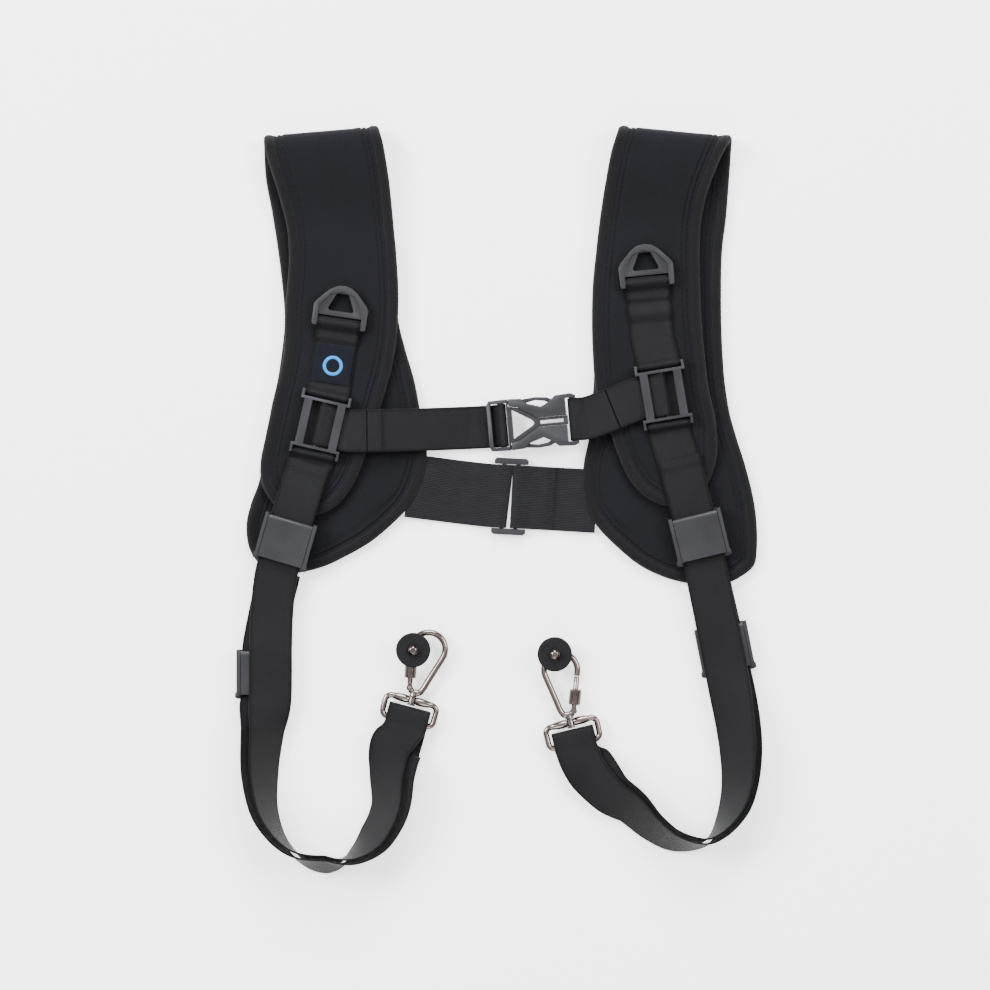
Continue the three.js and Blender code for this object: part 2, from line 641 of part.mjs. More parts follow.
function centreWebbingSide(ladderAt, ends, ripples) {
  const flat = WEBBING_LEVEL;
  const upper = flat + LAYER_STEP;
  const rise = 3.4;
  const firstRoll = ladderAt - ROLL_FROM_MIDDLE;
  const lastRoll = ladderAt + ROLL_FROM_MIDDLE;
  return [
    sidePoint(LOOP_TUCK, flat),
    sidePoint(LOOP_TUCK / 2, flat),
    ...arcPoints(0, RING_LEVEL, LOOP_RADIUS, -90, -312, 10),
    sidePoint(LOOP_TUCK * 0.55, upper + 0.2),
    sidePoint(LOOP_TUCK + 0.4, upper),
    sidePoint(LOOP_TUCK + rise, flat),
    ...ripples.map(({ along, up }) => sidePoint(LOOP_TUCK + rise + along, flat + up)),
    sidePoint(firstRoll - ROLL_RADIUS - 3.4, flat),
    sidePoint(firstRoll - ROLL_RADIUS - 1.4, flat + 0.55),
    ...arcPoints(firstRoll, ROLL_LEVEL, ROLL_RADIUS, 190, 0, 8),
    sidePoint(firstRoll + ROLL_RADIUS, flat + 0.35),
    sidePoint(firstRoll + ROLL_RADIUS + 0.7, flat),
    sidePoint(lastRoll - ROLL_RADIUS - 0.7, flat),
    sidePoint(lastRoll - ROLL_RADIUS, flat + 0.35),
    ...arcPoints(lastRoll, ROLL_LEVEL, ROLL_RADIUS, 180, -10, 8),
    sidePoint(lastRoll + ROLL_RADIUS + 1.4, flat + 0.55),
    sidePoint(lastRoll + ROLL_RADIUS + 3.4, flat),
    sidePoint(ends, flat),
  ];
}

const LEFT_WEBBING_END = 120;
const RIGHT_WEBBING_END = 136;
const RIGHT_RIPPLES = [
  { along: 4, up: 1.4 },
  { along: 7.5, up: 2.2 },
  { along: 11, up: 1.2 },
  { along: 14, up: 0 },
];
addPiece('left_centre_webbing', sideRibbon(
  FRONT_LINES.left, centreWebbingSide(LEFT_LADDER_AT, LEFT_WEBBING_END, []), STRAP_WIDTH, STRAP_THICKNESS,
), WEBBING);
addPiece('right_centre_webbing', sideRibbon(
  FRONT_LINES.right, centreWebbingSide(RIGHT_LADDER_AT, RIGHT_WEBBING_END, RIGHT_RIPPLES),
  STRAP_WIDTH, STRAP_THICKNESS,
), WEBBING);

// A hard piece on the front line: its own Y points up the pad, its X to the picture's right.
function onFrontLine(side, distance, level) {
  const { here, along } = FRONT_LINES[side](distance);
  const up = along.clone().negate();
  const right = up.clone().cross(UP).normalize();
  return new THREE.Matrix4().makeBasis(right, up, UP).setPosition(here.x, here.y, level);
}

// D-rings
function dRing() {
  const half = STRAP_WIDTH / 2 + CLEARANCE + D_RING_RIM;
  const inner = half - D_RING_RIM;
  const top = D_RING_HEIGHT;
  const outer = mirrored([
    [half - 0.6, -D_RING_LEG_BELOW], [half, -D_RING_LEG_BELOW + 1.6], [half + 0.2, 0.43 * top],
    [half - 1.6, 0.545 * top], [0.52 * half, 0.85 * top], [0.26 * half, 0.97 * top], [0, top],
  ]);
  const hollow = mirrored([
    [inner, -D_RING_LEG_BELOW - 1], [inner, 0.43 * top], [0.43 * half, 0.755 * top], [0, 0.83 * top],
  ]);
  const plateFoot = LOOP_RADIUS + STRAP_THICKNESS / 2 + 0.9;
  const plate = mirrored([
    [inner + 0.8, plateFoot], [inner + 0.8, 0.46 * top], [0.48 * half, 0.79 * top], [0, 0.87 * top],
  ]);
  const eye = mirrored([
    [0.43 * half, 0.31 * top], [0.48 * half, 0.37 * top], [0.235 * half, 0.755 * top],
    [0.17 * half, 0.785 * top],
  ]);
  const rim = solidOf(shaped(outer, D_RING_THICKNESS))
    .subtract(solidOf(shaped(hollow, D_RING_THICKNESS * 2)));
  const body = rim.add(solidOf(shaped(plate, D_RING_PLATE)));
  const open = body.subtract(solidOf(shaped(eye, D_RING_THICKNESS * 2)));
  return geometryOf(open.add(solidOf(
    bar(at(-inner - 0.8, 0), at(inner + 0.8, 0), RING_BAR_RADIUS),
  )));
}
addPiece('left_d_ring', dRing(), PLASTIC, onFrontLine('left', 0, RING_LEVEL));
addPiece('right_d_ring', dRing(), PLASTIC, onFrontLine('right', 0, RING_LEVEL));

// Patch
const PATCH_LEVEL = WEBBING_LEVEL + STRAP_THICKNESS / 2 + CLEARANCE + PATCH_THICKNESS / 2;
addPiece(
  'label_patch', new THREE.BoxGeometry(PATCH_SIZE, PATCH_SIZE, PATCH_THICKNESS), PATCH,
  onFrontLine('left', PATCH_FROM_RING, PATCH_LEVEL),
);

// Ladder buckles: two rails over the chest strap's tab, end bars that the webbing runs under,
// and a roll bar past each end that it runs over. The post in the window holds the chest strap.
const POST_LOOP_RADIUS = LADDER_POST_RADIUS + CLEARANCE + STRAP_THICKNESS / 2;
const TAB_LEVEL = WEBBING_LEVEL + LAYER_STEP;
const LADDER_POST_LEVEL = TAB_LEVEL + POST_LOOP_RADIUS;
const LADDER_RAIL_FOOT = TAB_LEVEL + LAYER_STEP + STRAP_THICKNESS / 2 + CLEARANCE;
const LADDER_BAR_FOOT = WEBBING_LEVEL + STRAP_THICKNESS / 2 + 1.3 * CLEARANCE;
const LADDER_TOP = LADDER_RAIL_FOOT + LADDER_RAIL_THICKNESS;

function ladderBuckle(tabSide) {
  const half = LADDER_WIDTH / 2;
  const window = LADDER_WINDOW_WIDTH / 2;
  const endHalf = STRAP_WIDTH / 2 + 2 * CLEARANCE + LADDER_PRONG;
  const prong = endHalf - LADDER_PRONG;
  const length = LADDER_LENGTH / 2;
  const hole = LADDER_WINDOW_LENGTH / 2;
  const prongEnd = ROLL_FROM_MIDDLE + LADDER_ROLL_RADIUS;
  const pieces = [];
  [-1, 1].forEach((side) => {
    const [near, far] = side < 0 ? [-half, -window] : [window, half];
    pieces.push(box(near, far, -length, length, LADDER_RAIL_FOOT, LADDER_TOP));
    const [inside, outside] = side < 0 ? [-length, -hole] : [hole, length];
    pieces.push(box(-endHalf, endHalf, inside, outside, LADDER_BAR_FOOT, LADDER_TOP));
    [-1, 1].forEach((hand) => {
      const [x0, x1] = hand < 0 ? [-endHalf, -prong] : [prong, endHalf];
      const [y0, y1] = side < 0 ? [-prongEnd, -hole] : [hole, prongEnd];
      pieces.push(box(x0, x1, y0, y1, ROLL_LEVEL - LADDER_ROLL_RADIUS, LADDER_TOP - 0.6));
    });
    const y = side * ROLL_FROM_MIDDLE;
    pieces.push(bar(
      at(-endHalf + 0.6, y, ROLL_LEVEL), at(endHalf - 0.6, y, ROLL_LEVEL), LADDER_ROLL_RADIUS, 8,
    ));
  });
  const postX = -tabSide * LADDER_POST_SHIFT;
  pieces.push(bar(
    at(postX, -hole - 0.6, LADDER_POST_LEVEL), at(postX, hole + 0.6, LADDER_POST_LEVEL),
    LADDER_POST_RADIUS, 8,
  ));
  return geometryOf(join(...pieces));
}
addPiece('left_ladder_buckle', ladderBuckle(1), PLASTIC, onFrontLine('left', LEFT_LADDER_AT, 0));
addPiece('right_ladder_buckle', ladderBuckle(-1), PLASTIC, onFrontLine('right', RIGHT_LADDER_AT, 0));

// Camera straps
function strapRows(side, rows) {
  const lockAt = side === 'left' ? LEFT_LOCK : RIGHT_LOCK;
  return rows.map((row) => ({
    place: at(
      lockAt.x + row.across * STRAP_SPREAD, lockAt.y - row.down * STRAP_DROP, row.level * STRAP_WIDTH,
    ),
    extra: at(row.turn, row.apart * STRAP_WIDTH, row.shift * STRAP_WIDTH),
  }));
}

function swivelMatrix(swivel) {
  const spin = new THREE.Matrix4().makeRotationZ(radians(swivel.turn));
  return spin.setPosition(swivel.x, swivel.y, SWIVEL_LEVEL);
}

const BIGHT_RADIUS = SWIVEL_WIRE_RADIUS + CLEARANCE + STRAP_THICKNESS / 2;
const LOWER_BAR = SWIVEL_HEIGHT / 2 - SWIVEL_WIRE_RADIUS;
const HEAD_FOOT = LOWER_BAR - SWIVEL_BARREL_REACH - CLEARANCE - POST_HEAD;
const BIGHT_REACH = LOWER_BAR + HEAD_FOOT - 3 * CLEARANCE - STRAP_THICKNESS / 2 - BIGHT_RADIUS;

// The strap's frames: its upper layer down from its free end, and its lower layer under it.
function strapCourse(side) {
  const left = side === 'left';
  const rows = strapRows(side, left ? LEFT_STRAP : RIGHT_STRAP);
  const swivel = swivelMatrix(left ? LEFT_SWIVEL : RIGHT_SWIVEL);
  const heading = new THREE.Vector3(0, 1, 0).transformDirection(swivel);
  const flip = left ? 0 : 180;
  const barMiddle = at(0, -LOWER_BAR).applyMatrix4(swivel);
  const layer = left ? BIGHT_RADIUS : -BIGHT_RADIUS;
  STRAP_LEAD.forEach((before) => rows.push({
    place: barMiddle.clone().addScaledVector(heading, -before).addScaledVector(UP, layer),
    extra: at(flip, 2 * BIGHT_RADIUS, 0),
  }));
  const places = new THREE.CatmullRomCurve3(rows.map((row) => row.place), false, 'centripetal');
  const extras = new THREE.CatmullRomCurve3(rows.map((row) => row.extra), false, 'centripetal');
  const lastRow = rows.length - 1;
  const hand = left ? 1 : -1;
  return {
    lastRow,
    at(row) {
      const share = row / lastRow;
      const here = places.getPoint(share);
      const along = places.getTangent(share);
      const extra = extras.getPoint(share);
      const above = UP.clone().addScaledVector(along, -along.z).normalize();
      const flat = along.clone().cross(above);
      const turn = radians(extra.x) * hand;
      const across = flat.multiplyScalar(Math.cos(turn)).addScaledVector(above, Math.sin(turn));
      const up = across.clone().cross(along).normalize();
      return { at: here, across, up, along, apart: extra.y, shift: extra.z };
    },
    under(row) {
      const frame = this.at(row);
      const here = frame.at.clone().addScaledVector(frame.up, -frame.apart);
      return { ...frame, at: here.addScaledVector(frame.across, frame.shift) };
    },
  };
}

function cameraStrap(side) {
  const course = COURSES[side];
  const steps = Math.round(course.lastRow / STRAP_STEP);
  const rows = Array.from({ length: steps + 1 }, (_, i) => i / steps * course.lastRow);
  const frames = rows.map((row) => course.at(row));
  const end = frames.at(-1);
  const middle = end.at.clone()
    .addScaledVector(end.up, -BIGHT_RADIUS)
    .addScaledVector(end.along, BIGHT_REACH);
  const bends = 8;
  for (let i = 0; i <= bends; i += 1) {
    const angle = i / bends * Math.PI;
    const up = end.up.clone().multiplyScalar(Math.cos(angle)).addScaledVector(end.along, Math.sin(angle));
    frames.push({ at: middle.clone().addScaledVector(up, BIGHT_RADIUS), across: end.across, up });
  }
  const lower = rows.filter((row) => row > STRAP_EXIT_ROW + STRAP_STEP / 2).reverse();
  [...lower, STRAP_EXIT_ROW].forEach((row) => {
    const frame = course.under(row);
    frames.push({ at: frame.at, across: frame.across, up: frame.up.clone().negate(), back: true });
  });
  const whole = solidOf(ribbon(frames, STRAP_WIDTH, STRAP_THICKNESS));
  return geometryOf(whole.subtract(leafBlock(PADS[side])));
}
const COURSES = { left: strapCourse('left'), right: strapCourse('right') };
addPiece('left_camera_strap', cameraStrap('left'), WEBBING);
addPiece('right_camera_strap', cameraStrap('right'), WEBBING);

// Locks: a base plate under the strap with a flange at each side, and a lever pinned between them
const LOCK_INNER = STRAP_WIDTH / 2 + LOCK_SIDE_GAP;
const LOCK_OUTER = LOCK_INNER + LOCK_FLANGE;
const LOCK_BASE_TOP = -STRAP_THICKNESS / 2 - LOCK_GAP;
const PIN_LEVEL = STRAP_THICKNESS / 2 + LOCK_GAP + LOCK_HUB_RADIUS;
const LOCK_TOP = PIN_LEVEL + LOCK_HUB_RADIUS - 0.2;
const PIN_FROM_END = 3;

function lockFrame() {
  const half = LOCK_LENGTH / 2;
  const pinY = half - PIN_FROM_END;
  const plate = mirrored([
    [LOCK_OUTER - 1.2, -half - LOCK_WING], [LOCK_OUTER + 1, -half - LOCK_WING + 0.8],
    [LOCK_OUTER + 1, -half + 1.2], [LOCK_OUTER, -half + 2.4], [LOCK_OUTER, half],
  ]);
  const base = shaped(plate, LOCK_PLATE).translate(0, 0, LOCK_BASE_TOP - LOCK_PLATE / 2);
  const flanges = [-1, 1].map((side) => {
    const [x0, x1] = side < 0 ? [-LOCK_OUTER, -LOCK_INNER] : [LOCK_INNER, LOCK_OUTER];
    return box(x0, x1, -half, half, LOCK_BASE_TOP - 0.5, LOCK_TOP);
  });
  const reach = LOCK_OUTER + 2;
  const bore = bar(at(-reach, pinY, PIN_LEVEL), at(reach, pinY, PIN_LEVEL), LOCK_PIN_RADIUS + CLEARANCE);
  return geometryOf(join(base, ...flanges).subtract(solidOf(bore)));
}

function lockLever() {
  const half = LOCK_LENGTH / 2;
  const pinY = half - PIN_FROM_END;
  const inner = LOCK_INNER - CLEARANCE;
  const plate = box(-inner, inner, -half + 0.6, pinY, LOCK_TOP - LEVER_THICKNESS, LOCK_TOP);
  const hub = bar(at(-inner, pinY, PIN_LEVEL), at(inner, pinY, PIN_LEVEL), LOCK_HUB_RADIUS);
  const pin = bar(
    at(-LOCK_OUTER + 0.2, pinY, PIN_LEVEL), at(LOCK_OUTER - 0.2, pinY, PIN_LEVEL), LOCK_PIN_RADIUS,
  );
  return geometryOf(join(plate, hub, pin));
}

// A lock's own Y points up the strap and its Z away from the pad.
function lockMatrix(frame) {
  const up = frame.along.clone().negate();
  const right = up.clone().cross(frame.up).normalize();
  return new THREE.Matrix4().makeBasis(right, up, frame.up).setPosition(frame.at);
}
const FRONT_LOCK_ROW = 2;
const LOCKS = [
  { name: 'left_front_lock', frame: COURSES.left.at(FRONT_LOCK_ROW) },
  { name: 'right_front_lock', frame: COURSES.right.at(FRONT_LOCK_ROW) },
  { name: 'left_rear_lock', frame: COURSES.left.under(LEFT_REAR_LOCK_ROW) },
  { name: 'right_rear_lock', frame: COURSES.right.under(RIGHT_REAR_LOCK_ROW) },
];
LOCKS.forEach(({ name, frame }) => {
  addPiece(`${name}_frame`, lockFrame(), PLASTIC, lockMatrix(frame));
  addPiece(`${name}_lever`, lockLever(), PLASTIC, lockMatrix(frame));
});

// Side-release buckle, its own X from the left strap to the right one
const BUCKLE_HALF = BUCKLE_LENGTH / 2;
const BUCKLE_SIDE = BUCKLE_WIDTH / 2;
const BUCKLE_MATRIX = new THREE.Matrix4().makeRotationZ(radians(BUCKLE_AT.turn))
  .multiply(new THREE.Matrix4().makeRotationY(-radians(BUCKLE_AT.tilt)))
  .setPosition(BUCKLE_AT.x, BUCKLE_AT.y, BUCKLE_AT.level);
const MALE_BAR_X = -BUCKLE_HALF + 9.8;
const FEMALE_BAR_X = BUCKLE_HALF - BUCKLE_BAR_RADIUS - 0.2;
const MALE_FRAME_RAIL = 2.7;
const MALE_THICKNESS = 5.4;

const flippedY = (points) => [...points, ...points.slice().reverse().map(([x, y]) => [x, -y])];

// The outline of the male part's centre guide, and of one spring arm, each grown by a margin.
function guideOutline(margin) {
  return flippedY([
    [-0.545 * BUCKLE_HALF - margin, 0.7 * BUCKLE_SIDE + margin],
    [-0.3 * BUCKLE_HALF, 0.62 * BUCKLE_SIDE + margin],
    [0.13 * BUCKLE_HALF, 0.17 * BUCKLE_SIDE + margin],
    [0.84 * BUCKLE_HALF - 1.5 + margin, 0.17 * BUCKLE_SIDE + margin],
  ]);
}
const GUIDE_OPENING = flippedY([
  [-0.45 * BUCKLE_HALF, 0.56 * BUCKLE_SIDE],
  [-0.03 * BUCKLE_HALF, 0.14 * BUCKLE_SIDE],
  [0.03 * BUCKLE_HALF, 0.05 * BUCKLE_SIDE],
]);
const GUIDE_SLOT = flippedY([
  [0.17 * BUCKLE_HALF, 1.2], [0.7 * BUCKLE_HALF, 1.2],
]);
function armOutline(margin) {
  return [
    [-0.56 * BUCKLE_HALF, 0.93 * BUCKLE_SIDE + margin], [-0.16 * BUCKLE_HALF, 0.93 * BUCKLE_SIDE + margin],
    [0.1 * BUCKLE_HALF, 0.97 * BUCKLE_SIDE + margin], [0.36 * BUCKLE_HALF, 0.93 * BUCKLE_SIDE + margin],
    [0.6 * BUCKLE_HALF + margin, 0.72 * BUCKLE_SIDE + margin],
    [0.6 * BUCKLE_HALF + margin, 0.62 * BUCKLE_SIDE - margin],
    [0.44 * BUCKLE_HALF, 0.68 * BUCKLE_SIDE - margin], [0.3 * BUCKLE_HALF, 0.8 * BUCKLE_SIDE - margin],
    [0.1 * BUCKLE_HALF, 0.85 * BUCKLE_SIDE - margin], [-0.16 * BUCKLE_HALF, 0.78 * BUCKLE_SIDE - margin],
    [-0.56 * BUCKLE_HALF, 0.78 * BUCKLE_SIDE - margin],
  ];
}
const turnedOver = (points) => points.map(([x, y]) => [x, -y]).reverse();

function buckleMale() {
  const frame = solidOf(shaped(flippedY([
    [-BUCKLE_HALF, 0.82 * BUCKLE_SIDE], [-0.95 * BUCKLE_HALF, 0.96 * BUCKLE_SIDE],
    [-0.53 * BUCKLE_HALF, 0.98 * BUCKLE_SIDE],
  ]), MALE_THICKNESS));
  const inner = STRAP_WIDTH / 2 + CLEARANCE;
  const opening = shaped(flippedY([
    [-BUCKLE_HALF + MALE_FRAME_RAIL, inner], [-0.56 * BUCKLE_HALF, inner],
  ]), MALE_THICKNESS * 2);
  const guide = solidOf(shaped(guideOutline(0), MALE_THICKNESS - 1))
    .subtract(solidOf(shaped(GUIDE_OPENING, MALE_THICKNESS * 2)))
    .subtract(solidOf(shaped(GUIDE_SLOT, MALE_THICKNESS * 2)));
  const arms = [armOutline(0), turnedOver(armOutline(0))].map((points) => solidOf(shaped(points, 3)));
  const crossBar = bar(at(MALE_BAR_X, -inner - 1), at(MALE_BAR_X, inner + 1), BUCKLE_BAR_RADIUS);
  const whole = frame.subtract(solidOf(opening)).add(solidOf(crossBar)).add(guide);
  return geometryOf(arms.reduce((all, arm) => all.add(arm), whole));
}

function buckleFemale() {
  const outline = flippedY([
    [-0.5 * BUCKLE_HALF, 0.98 * BUCKLE_SIDE], [-0.22 * BUCKLE_HALF, 0.95 * BUCKLE_SIDE],
    [-0.08 * BUCKLE_HALF, 0.74 * BUCKLE_SIDE], [0.22 * BUCKLE_HALF, 0.58 * BUCKLE_SIDE],
    [0.4 * BUCKLE_HALF, 0.74 * BUCKLE_SIDE], [0.56 * BUCKLE_HALF, 0.97 * BUCKLE_SIDE],
    [0.9 * BUCKLE_HALF, BUCKLE_SIDE], [BUCKLE_HALF, 0.93 * BUCKLE_SIDE],
  ]);
  const inner = STRAP_WIDTH / 2 + CLEARANCE;
  const slotFrom = FEMALE_BAR_X - BUCKLE_BAR_RADIUS - STRAP_THICKNESS - 3 * CLEARANCE - 0.8;
  const slot = shaped(flippedY([
    [slotFrom, inner], [BUCKLE_HALF + 2, inner],
  ]), BUCKLE_THICKNESS * 2);
  const crossBar = bar(at(FEMALE_BAR_X, -inner - 1), at(FEMALE_BAR_X, inner + 1), BUCKLE_BAR_RADIUS);
  const channels = [armOutline(CLEARANCE), turnedOver(armOutline(CLEARANCE))]
    .map((points) => solidOf(shaped(points, 3 + 2 * CLEARANCE)));
  const mouth = solidOf(shaped(guideOutline(CLEARANCE), BUCKLE_THICKNESS * 2));
  const body = solidOf(shaped(outline, BUCKLE_THICKNESS)).subtract(solidOf(slot)).subtract(mouth);
  return geometryOf(channels.reduce((all, channel) => all.subtract(channel), body).add(solidOf(crossBar)));
}
addPiece('buckle_male', buckleMale(), PLASTIC, BUCKLE_MATRIX);
addPiece('buckle_female', buckleFemale(), PLASTIC, BUCKLE_MATRIX);

// Chest strap. Each half runs under its ladder's rail, round the post in the window and on to the
// side-release buckle, where it passes round a bar.
const BAR_LOOP_RADIUS = BUCKLE_BAR_RADIUS + CLEARANCE + STRAP_THICKNESS / 2;

function chestLine(side, hand, barX) {
  const ladder = onFrontLine(side, side === 'left' ? LEFT_LADDER_AT : RIGHT_LADDER_AT, 0);
  const lead = 0.65 * STRAP_WIDTH;
  const post = at(-hand * LADDER_POST_SHIFT, 0).applyMatrix4(ladder);
  const passing = at((0.8 * lead - LADDER_POST_SHIFT) * hand, 0).applyMatrix4(ladder);
  const leaving = at((lead - LADDER_POST_SHIFT) * hand, 0).applyMatrix4(ladder);
  const coming = at(barX - hand * lead / 2, 0).applyMatrix4(BUCKLE_MATRIX);
  const end = at(barX, 0).applyMatrix4(BUCKLE_MATRIX);
  const level = end.z;
  const points = [post, passing, leaving, coming, end].map((point) => point.setZ(0));
  const curve = new THREE.CatmullRomCurve3(points, false, 'centripetal');
  return { line: planLine(points), length: curve.getLength(), level };
}

function leftChestStrap() {
  const { line, length, level } = chestLine('left', 1, MALE_BAR_X);
  const upper = TAB_LEVEL + LAYER_STEP;
  const floor = CHEST_FLOOR;
  const over = floor + LAYER_STEP;
  const rail = BUCKLE_HALF + MALE_BAR_X - MALE_FRAME_RAIL;
  const halfway = { along: 0.62 * length, up: 0.47 * TAB_LEVEL + 0.53 * floor };
  return sideRibbon(line, [
    sidePoint(CHEST_TAB, upper),
    sidePoint(9, upper),
    sidePoint(5.4, LADDER_POST_LEVEL + 0.9),
    ...arcPoints(0, LADDER_POST_LEVEL, POST_LOOP_RADIUS, 55, 270, 8),
    sidePoint(8, TAB_LEVEL),
    sidePoint(CHEST_EDGE, TAB_LEVEL),
    sidePoint(halfway.along, halfway.up),
    sidePoint(length - 22, floor),
    sidePoint(length - rail - 0.4, floor),
    ...arcPoints(length, level, BAR_LOOP_RADIUS, -63, 145, 9),
    sidePoint(length - rail, over),
    sidePoint(length - 22, over),
    sidePoint(halfway.along, halfway.up + LAYER_STEP),
    sidePoint(CHEST_EDGE, upper),
    sidePoint(CHEST_TAB + 1, upper),
  ], STRAP_WIDTH, STRAP_THICKNESS);
}

function rightChestStrap() {
  const { line, length, level } = chestLine('right', -1, FEMALE_BAR_X);
  const upper = TAB_LEVEL + LAYER_STEP;
  const drop = length - RIGHT_CHEST_DROP;
  const crease = 0.57 * length;
  return sideRibbon(line, [
    sidePoint(crease - 0.5, upper),
    sidePoint(9, upper),
    sidePoint(5.4, LADDER_POST_LEVEL + 0.9),
    ...arcPoints(0, LADDER_POST_LEVEL, POST_LOOP_RADIUS, 55, 270, 8),
    sidePoint(8, TAB_LEVEL),
    sidePoint(crease, TAB_LEVEL),
    sidePoint(drop, TAB_LEVEL - 0.8),
    ...arcPoints(length, level, BAR_LOOP_RADIUS, -112, 98, 9),
    sidePoint(drop, TAB_LEVEL - 0.8 + LAYER_STEP),
    sidePoint(crease + 0.5, upper),
  ], STRAP_WIDTH, STRAP_THICKNESS);
}
addPiece('left_chest_strap', leftChestStrap(), WEBBING);
addPiece('right_chest_strap', rightChestStrap(), WEBBING);

// Back slider and its elastics
const ELASTIC_LOOP = SLIDER_BAR_RADIUS + CLEARANCE + ELASTIC_THICKNESS / 2;
const ELASTIC_FLOOR = ELASTIC_THICKNESS / 2;
const SLIDER_LEVEL = ELASTIC_FLOOR + ELASTIC_LOOP;
const SLIDER_BAR_X = SLIDER_WEDGE / 2 + ELASTIC_LOOP + ELASTIC_THICKNESS / 2;
const SLIDER_MATRIX = new THREE.Matrix4().makeRotationZ(radians(SLIDER_AT.turn))
  .setPosition(SLIDER_AT.x, SLIDER_AT.y, SLIDER_LEVEL);

function backSlider() {
  const inner = ELASTIC_WIDTH / 2 + CLEARANCE;
  const outer = inner + SLIDER_RAIL;
  const half = SLIDER_WIDTH / 2;
  const rail = shaped([
    [-half + 1.5, outer], [-half, outer - 1.5], [-half, inner], [half, inner], [half, outer - 1.5],
    [half - 1.5, outer],
  ], SLIDER_THICKNESS);
  const rails = [rail, rail.clone().rotateZ(Math.PI)];
  const bars = [-SLIDER_BAR_X, SLIDER_BAR_X].map((x) => (
    bar(at(x, -inner - 1.5), at(x, inner + 1.5), SLIDER_BAR_RADIUS, 8)
  ));
  return geometryOf(join(...rails, ...bars));
}
addPiece('back_slider', backSlider(), PLASTIC, SLIDER_MATRIX);

// The pad's back leaf seen from above, grown by a gap, up to the height of its binding.
function leafBlock(pad) {
  const edge = inset(padOutline(pad), -CLEARANCE).filter((point) => point.y > 0.3 * BACK_LEAF_LENGTH);
  const plan = edge.map((point) => padPoint(pad, point.x, point.y, 0)).map(({ x, y }) => [x, y]);
  return solidOf(shaped(plan, BINDING_HEIGHT + 2 * CLEARANCE).translate(0, 0, BACK_LEVEL));
}

function elasticBand(pad, barX, end, side) {
  const start = at(barX, 0).applyMatrix4(SLIDER_MATRIX).setZ(0);
  const lead = at(barX * 3, 0).applyMatrix4(SLIDER_MATRIX).setZ(0);
  const line = planLine([start, lead, at(end.x, end.y)]);
  const band = solidOf(sideRibbon(line, side, ELASTIC_WIDTH, ELASTIC_THICKNESS));
  return geometryOf(band.subtract(leafBlock(pad)));
}
const ELASTIC_UPPER = ELASTIC_FLOOR + ELASTIC_THICKNESS + CLEARANCE;
addPiece('left_back_elastic', elasticBand(PADS.left, -SLIDER_BAR_X, LEFT_ELASTIC_END, [
  sidePoint(LEFT_ELASTIC_RETURN, ELASTIC_FLOOR),
  ...arcPoints(0, SLIDER_LEVEL, ELASTIC_LOOP, 270, 62, 7),
  sidePoint(0.5 * LEFT_ELASTIC_RETURN, ELASTIC_UPPER + 0.4),
  sidePoint(LEFT_ELASTIC_RETURN, ELASTIC_UPPER),
  sidePoint(LEFT_ELASTIC_RETURN + 7, ELASTIC_FLOOR),
  sidePoint(2.3 * LEFT_ELASTIC_RETURN, ELASTIC_FLOOR),
  sidePoint(3 * LEFT_ELASTIC_RETURN, BACK_LEVEL),
  sidePoint(4 * LEFT_ELASTIC_RETURN, BACK_LEVEL),
]), ELASTIC);
addPiece('right_back_elastic', elasticBand(PADS.right, SLIDER_BAR_X, RIGHT_ELASTIC_END, [
  sidePoint(RIGHT_ELASTIC_RETURN, ELASTIC_UPPER),
  sidePoint(0.35 * RIGHT_ELASTIC_RETURN, ELASTIC_UPPER + 0.4),
  ...arcPoints(0, SLIDER_LEVEL, ELASTIC_LOOP, 62, 270, 7),
  sidePoint(1.15 * RIGHT_ELASTIC_RETURN, ELASTIC_FLOOR),
  sidePoint(1.6 * RIGHT_ELASTIC_RETURN, BACK_LEVEL),
  sidePoint(2.5 * RIGHT_ELASTIC_RETURN, BACK_LEVEL),
]), ELASTIC);

// Swivel rings, their own Y towards the carabiner
function wire(points, radius, sides = 6, closed = false) {
  const frames = points.map((point, i) => {
    const last = points.length - 1;
    const before = closed && i === 0 ? points[last] : points[Math.max(0, i - 1)];
    const after = closed && i === last ? points[0] : points[Math.min(last, i + 1)];
    const along = after.clone().sub(before).normalize();
    return { at: point, across: along.cross(UP), up: UP };
  });
  return loft(frames.map((frame) => ringAt(frame, roundSection(radius, sides))), closed);
}

function swivelRing() {
  const side = SWIVEL_WIDTH / 2 - SWIVEL_WIRE_RADIUS;
  const corner = 4.2;
  const turns = [[1, 1, 0], [-1, 1, 90], [-1, -1, 180], [1, -1, 270]];
  const points = turns.flatMap(([x, y, from]) => (
    arcPoints(x * (side - corner), y * (LOWER_BAR - corner), corner, from, from + 90, 3)
  ));
  const ring = wire(points.map(({ x, y }) => at(x, y)), SWIVEL_WIRE_RADIUS, 6, true);
  const barrel = bar(
    at(0, LOWER_BAR - SWIVEL_BARREL_REACH), at(0, LOWER_BAR + SWIVEL_BARREL_REACH), SWIVEL_BARREL_RADIUS,
  );
  const bore = bar(at(0, LOWER_BAR - 6), at(0, LOWER_BAR + 6), POST_RADIUS + 1.3 * CLEARANCE);
  return geometryOf(join(ring, barrel).subtract(solidOf(bore)));
}

